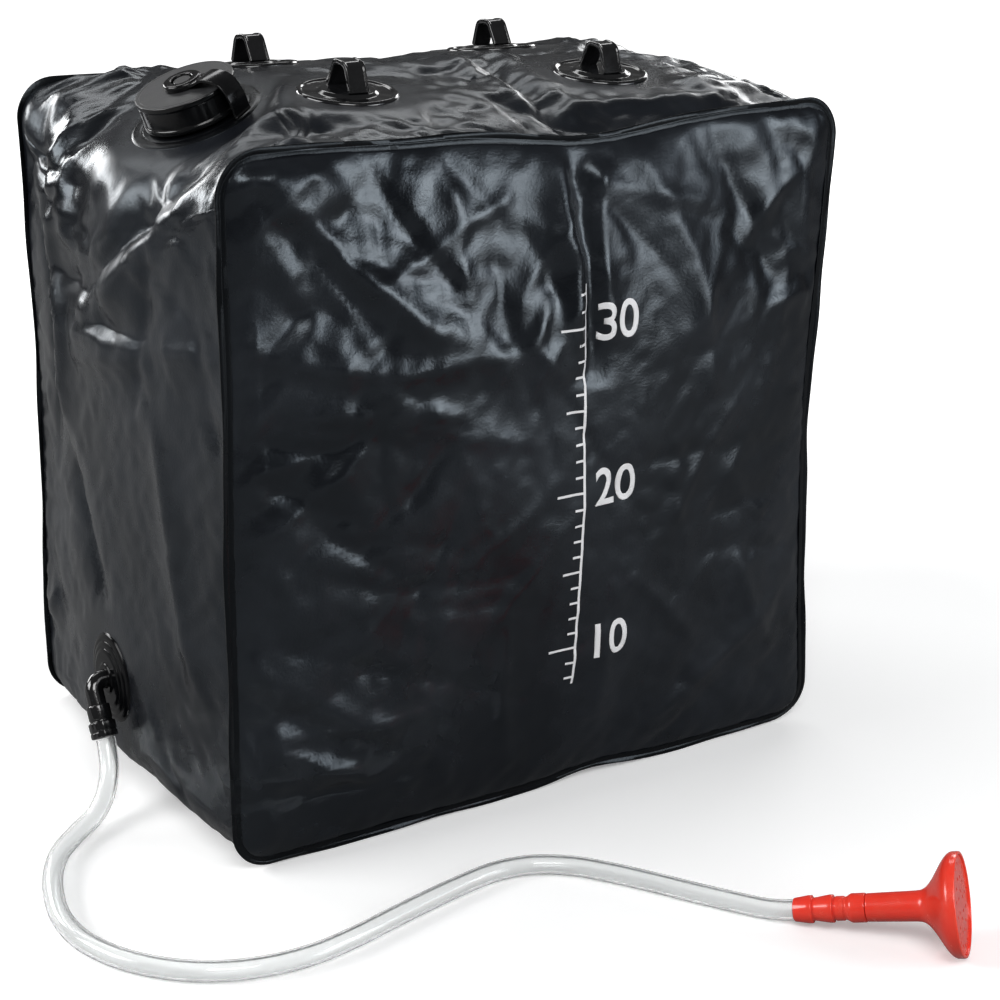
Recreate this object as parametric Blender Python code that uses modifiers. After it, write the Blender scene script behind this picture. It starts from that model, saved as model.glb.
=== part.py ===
"""Camp shower bag: a 40 litre box of black vinyl film that holds water, with a filler cap and
four carry loops on top, and an outlet elbow, a clear hose and a red push-pull shower head.

Metres, +Z up. The origin is the middle of the flat the bag rests on. The front panel, which
carries the print, faces -Y, and the outlet is on the -X wall.
"""

import math

import bmesh
import bpy
import numpy as np
from mathutils import Matrix, Vector

# The bag: two panels joined by a gusset, measured over the welded margins
bag_width = 0.400
bag_depth = 0.270
bag_height = 0.396
film = 0.0008
clearance = 0.0003
wall_gap = 0.0005
seam_margin = 0.005
panel_corner = 0.025

# How far each face swells when the bag is full
panel_swell = 0.016
side_swell = 0.0135
top_swell = 0.017

# The gusset's rounded shoulders and feet at mid depth: across and up
filler_shoulder_across = 0.150
filler_shoulder_up = 0.100
far_shoulder_across = 0.080
far_shoulder_up = 0.070
foot_across = 0.045
foot_up = 0.045
base_flat_share = 0.60
foot_seam_share = 0.5
weld_fade_share = 0.08

# Filler: where it sits on the sloping shoulder, and how it leans
filler_from_left = 0.052
filler_forward = 0.006
filler_below_top = 0.0065
filler_lean_left = math.radians(22)
filler_lean_front = math.radians(3.5)
flange_radius = 0.037
flange_thickness = 0.0015
neck_bore_radius = 0.017
neck_wall = 0.0045
neck_height = 0.0145
neck_lip = 0.005
neck_lip_thickness = 0.002
thread_height = 0.0012
thread_pitch = 0.003
cap_radius = 0.028
cap_height = 0.0165
cap_top_thickness = 0.0025
cap_wall = 0.0035
cap_edge = 0.0015
cap_base_gap = 0.0017
boss_radius = 0.0055
boss_height = 0.003
gasket_width = 0.0038
strap_ring_width = 0.0050
strap_ring_thickness = 0.0035
strap_width = 0.013
strap_thickness = 0.0016
strap_turn = math.radians(-65)
strap_rise = 0.0052
strap_reach = 0.0065

# Carry loops and the welded patches that hold them
pad_margin = 0.007
loop_from_side = 0.117
loop_along = 0.058
patch_radius = 0.028
patch_thickness = 0.0012
patch_rim_width = 0.0035
patch_rim_height = 0.0010
patch_seat_height = 0.0018
loop_width = 0.012
loop_foot_length = 0.028
loop_top_length = 0.013
loop_height = 0.0155
loop_band = 0.0028
loop_round = 0.0035

# Outlet fitting low on the left wall, and its elbow
outlet_height = 0.069
outlet_radius = 0.0265
outlet_base = 0.0012
outlet_step = 0.0010
outlet_step_width = 0.0020
outlet_tail_radius = 0.0085
outlet_tail_length = 0.0105
seal_thickness = 0.0015
seal_radius = 0.0165
nut_thickness = 0.005
nut_radius = 0.0155
elbow_radius = 0.0054
elbow_bore_radius = 0.0032
elbow_reach = 0.0134
elbow_bend = 0.0062
elbow_leg = 0.033
elbow_lean = math.radians(30)
groove_depth = 0.0011
ring_section = 0.00045
collar_wall = 0.0021
collar_length = 0.019
nut_length = 0.0095
ring_wall_share = 0.5

# Hose
hose_radius = 0.0055
hose_points_apart = 0.022
hose_end_run = 0.004

# Shower head: stem, shell and spray plate on one axis, from the hose to the face
head_x = 0.0310
head_y = -0.3300
head_heading = math.radians(-50)
stem_height = 0.0082
barb_small_radius = 0.0061
barb_large_radius = 0.0073
barb_length = 0.0098
barb_gap = 0.0013
barb_waist_radius = 0.0060
stem_ring_radius = 0.0064
stem_ring_length = 0.0042
stem_collar_length = 0.0102
stem_collar_radius = 0.0076
stem_bore_radius = 0.0030
spigot_radius = 0.0050
spigot_length = 0.026
neck_radius_back = 0.0073
neck_radius_front = 0.0080
shell_neck_length = 0.0265
shell_bell_length = 0.0228
bell_radius = 0.027
bell_lip = 0.0035
shell_wall = 0.0016
plate_thickness = 0.0018
plate_recess = 0.0010
spray_hole_radius = 0.0010
spray_rings = 3
pin_length = 0.0045
floor_gap = 0.0002

overrun = 0.004
turned_steps = 32
small_turned_steps = 20

# The hose's route, chosen by hand: from the elbow's collar down to the ground and round the front
hose_route = (
    (-0.2219, -0.0168, 0.0399),
    (-0.2220, -0.0188, 0.0363),
    (-0.2243, -0.0264, 0.0253),
    (-0.2311, -0.0358, 0.0151),
    (-0.2416, -0.0449, 0.0085),
    (-0.2550, -0.0535, 0.0060),
    (-0.2725, -0.0705, 0.0058),
    (-0.2850, -0.0915, 0.0058),
    (-0.2935, -0.1150, 0.0058),
    (-0.2980, -0.1380, 0.0058),
    (-0.2970, -0.1620, 0.0058),
    (-0.2880, -0.1865, 0.0058),
    (-0.2725, -0.2075, 0.0058),
    (-0.2525, -0.2230, 0.0058),
    (-0.2290, -0.2320, 0.0058),
    (-0.2035, -0.2345, 0.0058),
    (-0.1780, -0.2310, 0.0058),
    (-0.1530, -0.2250, 0.0058),
    (-0.1275, -0.2190, 0.0058),
    (-0.1020, -0.2140, 0.0058),
    (-0.0790, -0.2115, 0.0058),
    (-0.0585, -0.2155, 0.0058),
    (-0.0405, -0.2275, 0.0058),
    (-0.0265, -0.2445, 0.0058),
    (-0.0135, -0.2640, 0.0058),
    (-0.0010, -0.2845, 0.0058),
    (0.0110, -0.3030, 0.0058),
    (0.0205, -0.3170, 0.0059),
    (0.0270, -0.3252, 0.0069),
    (0.0308, -0.3298, 0.0081),
)

# The folds that the film keeps when it is full: each has its share of the fold's height, below
# zero for a valley, and points as shares of half the width, half the depth and the height
fold_height = 0.006
fold_half_width = 0.015
fold_line_shares = (
    (1.4, ((-0.96, -0.88, 0.95), (-1.01, -0.53, 0.86), (-1.04, -0.14, 0.77), (-1.04, 0.19, 0.71))),
    (1.0, ((-1.03, 0.30, 0.68), (-1.04, -0.07, 0.70), (-1.02, -0.55, 0.71), (-0.98, -0.93, 0.73))),
    (1.2, (
        (-0.90, 0.85, 0.97), (-0.97, 0.59, 0.91), (-1.02, 0.53, 0.76), (-1.03, 0.39, 0.68),
        (-1.02, 0.44, 0.53), (-1.03, 0.41, 0.45),
    )),
    (-1.0, (
        (-0.93, 0.85, 0.96), (-1.01, 0.61, 0.84), (-1.00, 0.71, 0.69), (-1.00, 0.69, 0.53),
        (-1.00, 0.68, 0.42),
    )),
    (1.2, ((-0.89, 0.87, 0.97), (-0.88, 0.61, 0.96), (-0.95, 0.52, 0.92), (-1.01, 0.47, 0.86))),
    (1.2, ((-0.81, 0.30, 0.98), (-0.91, 0.24, 0.95), (-0.97, 0.36, 0.89), (-1.01, 0.46, 0.85))),
    (1.0, (
        (-0.90, -0.21, 0.95), (-0.96, -0.27, 0.92), (-1.00, -0.21, 0.88), (-1.02, -0.13, 0.85),
        (-1.03, -0.01, 0.81), (-1.04, 0.03, 0.77),
    )),
    (1.2, ((-0.87, -1.01, 0.96), (-0.78, -1.03, 0.92), (-0.56, -1.07, 0.81), (-0.27, -1.11, 0.71))),
    (1.4, (
        (0.03, -0.93, 0.97), (-0.00, -1.07, 0.87), (0.03, -1.09, 0.80), (0.04, -1.12, 0.69),
        (0.05, -1.13, 0.65),
    )),
    (0.8, (
        (-0.97, -0.99, 0.74), (-0.77, -1.06, 0.72), (-0.51, -1.10, 0.69), (-0.27, -1.11, 0.70),
        (-0.12, -1.12, 0.69),
    )),
    (0.8, (
        (-0.82, -1.05, 0.63), (-0.78, -1.06, 0.65), (-0.71, -1.07, 0.64), (-0.62, -1.09, 0.64),
        (-0.55, -1.10, 0.65), (-0.51, -1.10, 0.67),
    )),
    (-1.2, ((-1.02, 0.53, 0.57), (-1.03, 0.35, 0.41), (-1.04, 0.06, 0.27), (-1.03, -0.36, 0.19))),
    (1.0, (
        (-1.02, -0.45, 0.64), (-1.02, -0.55, 0.53), (-1.01, -0.61, 0.45), (-1.01, -0.70, 0.32),
        (-0.99, -0.84, 0.21),
    )),
    (0.7, ((-0.95, -1.01, 0.32), (-0.83, -1.04, 0.27), (-0.69, -1.06, 0.22), (-0.50, -1.07, 0.16))),
    (1.0, (
        (0.10, 0.21, 1.03), (0.06, -0.23, 1.03), (0.03, -0.52, 1.02), (0.01, -0.76, 1.00),
        (0.01, -0.92, 0.98),
    )),
    (1.0, (
        (0.25, 0.15, 1.03), (0.22, -0.24, 1.03), (0.18, -0.54, 1.02), (0.16, -0.76, 0.99),
        (0.09, -0.93, 0.97),
    )),
    (1.2, (
        (0.09, -0.82, 0.99), (0.24, -0.79, 0.99), (0.38, -0.86, 0.99), (0.54, -0.88, 0.99),
        (0.71, -0.87, 1.00),
    )),
    (1.0, (
        (-0.92, -0.87, 0.96), (-0.76, -0.68, 0.99), (-0.62, -0.60, 1.01), (-0.44, -0.51, 1.02),
        (-0.28, -0.51, 1.02),
    )),
    (1.0, ((0.52, -0.21, 1.03), (0.55, -0.45, 1.02), (0.60, -0.71, 1.01), (0.70, -0.85, 1.00))),
    (0.8, (
        (0.21, -0.99, 0.97), (0.33, -1.05, 0.89), (0.43, -1.08, 0.80), (0.49, -1.10, 0.70),
        (0.52, -1.10, 0.58),
    )),
    (-0.8, ((0.49, -0.99, 0.98), (0.59, -1.04, 0.89), (0.70, -1.06, 0.80), (0.76, -1.06, 0.71))),
)


# Scene, collections and materials


def clear_scene():
    for old in list(bpy.data.objects):
        bpy.data.objects.remove(old, do_unlink=True)


def new_collection(name):
    group = bpy.data.collections.new(name)
    bpy.context.scene.collection.children.link(group)
    return group


def new_material(name, colour, roughness, metallic=0.0, alpha=1.0):
    made = bpy.data.materials.new(name)
    made.use_nodes = True
    shader = made.node_tree.nodes["Principled BSDF"]
    shader.inputs["Base Color"].default_value = (*colour, 1.0)
    shader.inputs["Roughness"].default_value = roughness
    shader.inputs["Metallic"].default_value = metallic
    shader.inputs["Alpha"].default_value = alpha
    return made


clear_scene()
parts = new_collection("camp_shower_bag")
cutters = new_collection("cutters")
film_black = new_material("film_black", (0.014, 0.015, 0.019), 0.32)
cap_black = new_material("cap_black", (0.045, 0.046, 0.050), 0.42)
fitting_black = new_material("fitting_black", (0.010, 0.010, 0.011), 0.18)
seal_grey = new_material("seal_grey", (0.08, 0.08, 0.08), 0.7)
hose_clear = new_material("hose_clear", (0.86, 0.88, 0.88), 0.12, alpha=0.45)
head_red = new_material("head_red", (0.82, 0.045, 0.022), 0.25)


# Ways of making a shape


def add_object(name, mesh, finish=None, frame=None):
    """A new object; with no finish it is a cutter."""
    made = bpy.data.objects.new(name, mesh)
    if finish is None:
        cutters.objects.link(made)
        made.hide_render = True
        made.display_type = "WIRE"
    else:
        parts.objects.link(made)
        mesh.materials.append(finish)
    if frame is not None:
        made.parent = frame
    return made


def add_frame(name, matrix):
    """An empty that carries a fitting's pieces, on the axis they turn or slide on."""
    made = bpy.data.objects.new(name, None)
    parts.objects.link(made)
    made.matrix_world = matrix
    return made


def turned(name, outline, finish, frame, closed=True, steps=turned_steps):
    """An outline of (radius, height), down its outer side, turned about the frame's Z axis."""
    mesh = bpy.data.meshes.new(name)
    count = len(outline)
    edges = [(i, (i + 1) % count) for i in range(count if closed else count - 1)]
    mesh.from_pydata([(radius, 0, height) for radius, height in outline], edges, [])
    made = add_object(name, mesh, finish, frame)
    screw = made.modifiers.new("turn", "SCREW")
    screw.axis = "Z"
    screw.steps = screw.render_steps = steps
    screw.use_merge_vertices = True
    screw.merge_threshold = 1e-6
    screw.use_smooth_shade = True
    return made


def cut(piece, cutter):
    step = piece.modifiers.new(f"cut {cutter.name}", "BOOLEAN")
    step.operation = "DIFFERENCE"
    step.object = cutter


def join(piece, other):
    step = piece.modifiers.new(f"join {other.name}", "BOOLEAN")
    step.operation = "UNION"
    step.object = other


def round_cutter(name, radius, low, high, frame, steps=turned_steps):
    outline = [(0, high), (radius, high), (radius, low), (0, low)]
    return turned(name, outline, None, frame, closed=False, steps=steps)


def smooth_line(points, apart):
    """Points about the given distance apart on the Catmull-Rom curve through points."""
    known = np.array(points, float)
    ends = (2 * known[0] - known[1], 2 * known[-1] - known[-2])
    padded = np.vstack([ends[0], known, ends[1]])
    t = np.linspace(0, 1, 24, endpoint=False)[:, None]
    runs = []
    for a, b, c, d in zip(padded, padded[1:], padded[2:], padded[3:]):
        runs.append(
            b
            + (c - a) * t / 2
            + (2 * a - 5 * b + 4 * c - d) * t**2 / 2
            + (3 * (b - c) + d - a) * t**3 / 2
        )
    fine = np.vstack([*runs, known[-1:]])
    along = np.r_[0, np.cumsum(np.linalg.norm(np.diff(fine, axis=0), axis=1))]
    at = np.linspace(0, along[-1], max(2, round(along[-1] / apart)) + 1)
    return np.column_stack([np.interp(at, along, column) for column in fine.T])


def rounded_outline(corners, radius, steps=4):
    """A closed outline through corners, each rounded to an arc by a quadratic curve."""
    made = []
    for before, corner, after in zip(
        corners[-1:] + corners[:-1], corners, corners[1:] + corners[:1]
    ):
        here = Vector(corner)
        back, ahead = Vector(before) - here, Vector(after) - here
        reach = min(radius, back.length / 2, ahead.length / 2)
        start, end = here + back.normalized() * reach, here + ahead.normalized() * reach
        for k in range(steps + 1):
            t = k / steps
            made.append(start * (1 - t) ** 2 + here * 2 * t * (1 - t) + end * t**2)
    return made


def tube(name, points, radius, finish, frame=None, sides=3):
    """A round rod along points, with closed ends."""
    curve = bpy.data.curves.new(name, "CURVE")
    curve.dimensions = "3D"
    curve.bevel_depth = radius
    curve.bevel_resolution = sides
    curve.use_fill_caps = True
    line = curve.splines.new("POLY")
    line.points.add(len(points) - 1)
    for place, point in zip(line.points, points):
        place.co = (*point, 1)
    return add_object(name, curve, finish, frame)


def as_mesh(piece, finish):
    """The curve object made a mesh, so that it can be cut or can cut."""
    graph = bpy.context.evaluated_depsgraph_get()
    mesh = bpy.data.meshes.new_from_object(piece.evaluated_get(graph))
    work = bmesh.new()
    work.from_mesh(mesh)
    bmesh.ops.remove_doubles(work, verts=work.verts, dist=1e-6)
    work.to_mesh(mesh)
    work.free()
    mesh.materials.clear()
    name, frame, place = piece.name, piece.parent, piece.matrix_basis.copy()
    bpy.data.objects.remove(piece, do_unlink=True)
    made = add_object(name, mesh, finish, frame)
    made.matrix_basis = place
    return made


# The bag's film


class Outline:
    """A rounded rectangle in the X-Z plane, with its own rounding at each corner."""

    def __init__(self, left, right, bottom, top, corners):
        filler, far, foot_right, foot_left = corners
        self.corners = (
            (left + filler[0], top - filler[1], *filler),
            (right - far[0], top - far[1], *far),
            (right - foot_right[0], bottom + foot_right[1], *foot_right),
            (left + foot_left[0], bottom + foot_left[1], *foot_left),
        )

    def corner_point(self, corner, turn):
        """A point on corner 0 to 3, clockwise from the top left, turn going from 0 to 1."""
        x, z, across, up = self.corners[corner % 4]
        angle = math.pi - (corner % 4 + turn) * math.pi / 2
        return np.array([x + across * math.cos(angle), z + up * math.sin(angle)])

    def side(self, corner, turns, counts):
        """Points clockwise from one turn on a corner to another on the next corner."""
        first = [
            self.corner_point(corner, turn)
            for turn in np.linspace(turns[0], 1, counts[0] + 1)
        ]
        last = [
            self.corner_point(corner + 1, turn)
            for turn in np.linspace(0, turns[1], counts[2] + 1)
        ]
        middle = [
            first[-1] + (last[0] - first[-1]) * share
            for share in np.linspace(0, 1, counts[1] + 1)[1:-1]
        ]
        return np.array(first + middle + last)


def seam_outline(inset):
    """The panels' edge, or a line that lies inset from it."""
    radius = panel_corner - inset
    half = bag_width / 2 - inset
    return Outline(-half, half, inset, bag_height - inset, [(radius, radius)] * 4)


margin_edge = seam_outline(0)
weld_line = seam_outline(seam_margin)
half_width_full = bag_width / 2 - seam_margin + side_swell
top_full = bag_height - seam_margin + top_swell
middle_line = Outline(
    -half_width_full,
    half_width_full,
    0,
    top_full,
    [
        (filler_shoulder_across, filler_shoulder_up),
        (far_shoulder_across, far_shoulder_up),
        (foot_across, foot_up),
        (foot_across, foot_up),
    ],
)
lip_plane = bag_depth / 2 - 2 * film - clearance


def frame_on(place, normal):
    """A matrix at place whose Z axis is normal and whose X axis is as near +X as it can be."""
    up = Vector(normal).normalized()
    side = Vector((0, 1, 0)) if abs(up.x) > 0.9 else up.cross(Vector((1, 0, 0)))
    along = side.cross(up).normalized()
    across = up.cross(along).normalized()
    turn = Matrix((along, across, up)).transposed()
    return Matrix.Translation(Vector(place)) @ turn.to_4x4()


def swell_share(depth_share):
    return 1 - depth_share**2


def top_point(x, y):
    """The top wall's surface at x and y, clear of the shoulders, and its normal."""
    share = y / lip_plane
    height = bag_height - seam_margin + top_swell * swell_share(share)
    slope = -2 * top_swell * share / lip_plane
    return (x, y, height), (0, -slope, 1)


filler_place = (
    -bag_width / 2 + filler_from_left,
    -filler_forward,
    bag_height - filler_below_top,
)
filler_normal = (
    -math.sin(filler_lean_left) * math.cos(filler_lean_front),
    -math.sin(filler_lean_front),
    math.cos(filler_lean_left) * math.cos(filler_lean_front),
)
outlet_place = (-half_width_full, 0, outlet_height)
filler_matrix = frame_on(filler_place, filler_normal)
outlet_matrix = frame_on(outlet_place, (-1, 0, 0))
loop_place = bag_width / 2 - loop_from_side
loop_matrices = {
    f"{end}_{side}": frame_on(*top_point(x, y))
    for end, y in (("front", -loop_along), ("back", loop_along))
    for side, x in (("left", -loop_place), ("right", loop_place))
}

# Where a stiff fitting is welded on, the film is flat: its frame, flat radius and run-out
pads = [
    (matrix, radius + pad_margin, radius)
    for matrix, radius in (
        (filler_matrix, flange_radius),
        *((matrix, patch_radius) for matrix in loop_matrices.values()),
        (outlet_matrix, outlet_radius),
    )
]


def pull_to(pad, point):
    """How far a pad draws a point onto its plane, from 0 to 1, and the point in the pad's frame."""
    matrix, radius, run_out = pad
    local = matrix.inverted() @ Vector(point)
    away = (math.hypot(local.x, local.y) - radius) / run_out
    share = 1 if abs(local.z) > run_out else min(max(away, 0), 1)
    return 1 - share * share * (3 - 2 * share), local


def press_flat(point):
    """The point drawn onto the pads' planes: fully on a pad, and less and less in its run-out."""
    moved, total, most = Vector(), 0, 0
    for pad in pads:
        matrix = pad[0]
        pull, local = pull_to(pad, point)
        if not pull:
            continue
        weight = pull / (1 - pull + 1e-6)
        local.z = 0
        moved += weight * (matrix @ local - Vector(point))
        total += weight
        most = max(most, pull)
    return Vector(point) + (moved * most / total if total else moved)


fold_lines = [
    (
        share,
        [Vector((x * bag_width, y * bag_depth, 2 * z * bag_height)) / 2 for x, y, z in line],
    )
    for share, line in fold_line_shares
]


def near_line(point, line):
    """The distance from a point to a line of points, and how far along the line it is nearest."""
    best, along = math.inf, 0
    for i, (a, b) in enumerate(zip(line, line[1:])):
        leg = b - a
        share = min(max((point - a).dot(leg) / leg.length_squared, 0), 1)
        away = (point - a - leg * share).length
        if away < best:
            best, along = away, (i + share) / (len(line) - 1)
    return best, along


def fold_push(point):
    """How far out the folds push a point of the film: most on a fold's crest, and none at its ends."""
    total = 0
    crest = fold_half_width / 4
    for share, line in fold_lines:
        away, along = near_line(Vector(point), line)
        rounded = math.hypot(away, crest) - crest
        total += share * 4 * along * (1 - along) * math.exp(-rounded / fold_half_width)
    return fold_height * total


def folded(point, free):
    """The gusset's point pushed out by the folds, across the bag and not along its depth."""
    x, y, z = point
    across = 2 * x / bag_width
    up = 2 * z / bag_height - 1
    out = Vector((across**5, up**5)).normalized()
    clear = 1 - max(pull_to(pad, point)[0] for pad in pads)
    push = fold_push(point) * min(free, 1) * clear
    return (x + out.x * push, y, z + out.y * push)


def add_sheet(name, columns, rows, point_at, outside):
    """A grid laid on point_at(column, row), thickened inwards from its outer face."""
    mesh = bpy.data.meshes.new(name)
    work = bmesh.new()
    bmesh.ops.create_grid(work, x_segments=columns, y_segments=rows, size=1)
    for vertex in work.verts:
        column = round((vertex.co.x + 1) / 2 * columns)
        row = round((vertex.co.y + 1) / 2 * rows)
        vertex.co = point_at(column, row)
    bmesh.ops.remove_doubles(work, verts=work.verts, dist=1e-6)
    work.normal_update()
    facing = sum(
        (face.normal.dot(Vector(outside)) * face.calc_area() for face in work.faces)
    )
    if facing < 0:
        bmesh.ops.reverse_faces(work, faces=work.faces)
    work.to_mesh(mesh)
    work.free()
    mesh.shade_smooth()
    made = add_object(name, mesh, film_black)
    wall = made.modifiers.new("film", "SOLIDIFY")
    wall.thickness = film
    wall.offset = -1
    wall.use_even_offset = True
    wall.use_quality_normals = True
    return made


def base_share(depth_share):
    """How far the base has dropped to the ground: wholly over its flat middle."""
    away = (abs(depth_share) - base_flat_share) / (1 - base_flat_share)
    share = min(max(away, 0), 1)
    return 1 - share * share * (3 - 2 * share)


def add_wall(name, corner, turns, counts, rows, floor_parts, outside):
    """One wall of the gusset, with its two weld lips.

    floor_parts says how far it takes the base's shape at its start, middle and end.
    """
    edge, weld, middle = (
        outline.side(corner, turns, counts)
        for outline in (margin_edge, weld_line, middle_line)
    )
    columns = sum(counts)
    for line in (edge, weld, middle):
        for end, next_in in ((0, 1), (-1, -2)):
            inwards = line[next_in] - line[end]
            line[end] += inwards / np.linalg.norm(inwards) * wall_gap / 2
    start, plain, end = floor_parts
    known = (0, counts[0], counts[0] + counts[1], columns)
    parts_along = np.interp(range(columns + 1), known, (start, plain, plain, end))

    def point_at(column, row):
        if row in (0, rows + 2):
            x, z = edge[column]
            return (x, math.copysign(lip_plane, row - 1), z)
        share = 2 * (row - 1) / rows - 1
        part = parts_along[column]
        swell = (1 - part) * swell_share(share) + part * base_share(share)
        x, z = weld[column] * (1 - swell) + middle[column] * swell
        if abs(share) == 1:
            return (x, share * lip_plane, z)
        free = (1 - abs(share)) / weld_fade_share * min(1, z / foot_up)
        return press_flat(folded((x, share * lip_plane, z), free))

    return add_sheet(name, columns, rows + 2, point_at, outside)


def add_panel(name, front):
    """A panel: a swollen grid blended between its four sides, with a flat margin outside them."""
    cells = sum(panel_counts)
    weld, margin = (
        [outline.side(corner, (0.5, 0.5), panel_counts) for corner in range(4)]
        for outline in (weld_line, margin_edge)
    )
    outwards = -1 if front else 1

    def side_points(sides, column, row):
        """The sides' points over, right of, under and left of a place in the grid."""
        return sides[0][column], sides[1][row], sides[2][cells - column], sides[3][cells - row]

    def point_at(column, row):
        inner_column = min(max(column - 1, 0), cells)
        inner_row = min(max(row - 1, 0), cells)
        u, w = inner_column / cells, inner_row / cells
        sides = weld if (inner_column, inner_row) == (column - 1, row - 1) else margin
        over, right, under, left = side_points(sides, inner_column, inner_row)
        if inner_row in (0, cells) or inner_column in (0, cells):
            line = over if inner_row == 0 else under if inner_row == cells else None
            x, z = line if line is not None else (left if inner_column == 0 else right)
            return (x, outwards * bag_depth / 2, z)
        corners = [side[0] for side in weld]
        top = corners[0] * (1 - u) + corners[1] * u
        bottom = corners[3] * (1 - u) + corners[2] * u
        x, z = (1 - w) * (over - top) + w * (under - bottom) + (1 - u) * left + u * right
        swell = panel_swell * (4 * u * (1 - u)) * (4 * w * (1 - w))
        free = min(u, 1 - u, w, 1 - w) / weld_fade_share
        y = bag_depth / 2 + swell
        push = fold_push((x, outwards * y, z)) * min(free, 1)
        return (x, outwards * (y + push), z)

    return add_sheet(name, cells + 2, cells + 2, point_at, (0, outwards, 0))


panel_counts = (3, 22, 3)
add_panel("front_panel", True)
add_panel("back_panel", False)
top_wall = add_wall("top_wall", 0, (0, 1), (14, 14, 9), 18, (0, 0, 0), (0, 0, 1))
seam = foot_seam_share
add_wall("right_wall", 1, (1, seam), (0, 9, 4), 10, (0, 0, seam), (1, 0, 0))
add_wall("base_wall", 2, (seam, seam), (4, 8, 4), 12, (seam, 1, seam), (0, 0, -1))
left_wall = add_wall("left_wall", 3, (seam, 0), (5, 17, 0), 18, (seam, 0, 0), (-1, 0, 0))


# Filler: flange, neck, cap, gasket and strap, all on one leaning axis

filler_frame = add_frame("filler_axis", filler_matrix)
neck_radius = neck_bore_radius + neck_wall
thread_radius = neck_radius + thread_height
under_film = -film - clearance
flange_top = clearance + flange_thickness
flange_hole_radius = thread_radius + clearance


def add_filler_flange():
    outline = [
        (flange_hole_radius, flange_top),
        (flange_radius - flange_thickness, flange_top),
        (flange_radius, clearance + flange_thickness / 2),
        (flange_radius, clearance),
        (flange_hole_radius, clearance),
    ]
    turned("filler_flange", outline, film_black, filler_frame)


def add_filler_neck():
    """The neck, with two turns of thread outside and a lip under the film."""
    lip_radius = neck_radius + neck_lip
    outline = [(neck_bore_radius, neck_height), (neck_radius, neck_height)]
    for turn in range(2):
        crest = neck_height - (turn + 1) * thread_pitch
        outline += [
            (neck_radius, crest + thread_height),
            (thread_radius, crest + thread_height / 3),
            (thread_radius, crest - thread_height / 3),
            (neck_radius, crest - thread_height),
        ]
    outline += [
        (neck_radius, under_film),
        (lip_radius, under_film),
        (lip_radius, under_film - neck_lip_thickness),
        (neck_bore_radius, under_film - neck_lip_thickness),
    ]
    turned("filler_neck", outline, fitting_black, filler_frame)


cap_bottom = flange_top + cap_base_gap
cap_top = cap_bottom + cap_height
cap_ceiling = cap_top - cap_top_thickness


def add_filler_cap():
    outline = [
        (0, cap_top + boss_height),
        (boss_radius, cap_top + boss_height),
        (boss_radius, cap_top),
        (cap_radius - cap_edge, cap_top),
        (cap_radius - cap_edge / 3, cap_top - cap_edge / 3),
        (cap_radius, cap_top - cap_edge),
        (cap_radius, cap_bottom),
        (cap_radius - cap_wall, cap_bottom),
        (cap_radius - cap_wall, cap_ceiling),
        (0, cap_ceiling),
    ]
    turned("filler_cap", outline, cap_black, filler_frame, closed=False)


def add_cap_gasket():
    low, high = neck_height + clearance, cap_ceiling - clearance
    outer = neck_bore_radius + gasket_width
    outline = [
        (neck_bore_radius, high),
        (outer, high),
        (outer, low),
        (neck_bore_radius, low),
    ]
    turned("cap_gasket", outline, seal_grey, filler_frame, steps=small_turned_steps)


def add_tether_strap():
    """A ring round the cap's boss, and a band that arches over the cap's edge to a welded foot."""
    ring_inner = boss_radius + clearance
    ring_outer = ring_inner + strap_ring_width
    ring_low = cap_top + clearance
    ring_high = ring_low + strap_ring_thickness
    chamfer = strap_ring_thickness / 4
    outline = [
        (ring_inner + chamfer, ring_high),
        (ring_outer - chamfer, ring_high),
        (ring_outer, ring_high - chamfer),
        (ring_outer, ring_low),
        (ring_inner, ring_low),
        (ring_inner, ring_high - chamfer),
    ]
    strap = turned("tether_strap", outline, fitting_black, filler_frame, steps=small_turned_steps)
    foot_height = flange_top + clearance + strap_thickness / 2
    foot_end = flange_radius - flange_thickness
    drop_radius = cap_radius + strap_reach
    apex = cap_top + strap_rise
    middle = (ring_low + ring_high) / 2
    path = smooth_line(
        [
            ((ring_inner + ring_outer) / 2, middle),
            (ring_outer + strap_thickness, middle + strap_thickness / 2),
            ((ring_outer + cap_radius) / 2, apex),
            (cap_radius, apex - strap_thickness),
            (drop_radius - strap_thickness, cap_top - strap_thickness),
            (drop_radius, (cap_top + foot_height) / 2),
            (drop_radius, foot_height + strap_thickness),
            (foot_end, foot_height),
        ],
        strap_ring_thickness,
    )
    rows = len(path) - 1
    mesh = bpy.data.meshes.new("strap_band")
    work = bmesh.new()
    bmesh.ops.create_grid(work, x_segments=2, y_segments=rows, size=1)
    for vertex in work.verts:
        radius, height = path[round((vertex.co.y + 1) / 2 * rows)]
        vertex.co = (radius, vertex.co.x * strap_width / 2, height)
    work.to_mesh(mesh)
    work.free()
    band = add_object("strap_band", mesh, None, filler_frame)
    band.rotation_euler.z = strap_turn
    wall = band.modifiers.new("thickness", "SOLIDIFY")
    wall.thickness = strap_thickness
    wall.offset = 0
    wall.use_even_offset = True
    join(strap, band)


add_filler_flange()
add_filler_neck()
add_filler_cap()
add_cap_gasket()
add_tether_strap()
filler_hole = round_cutter(
    "filler_hole", neck_radius + clearance, -overrun, overrun, filler_frame
)
cut(top_wall, filler_hole)


# Carry loops on their patches


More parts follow.
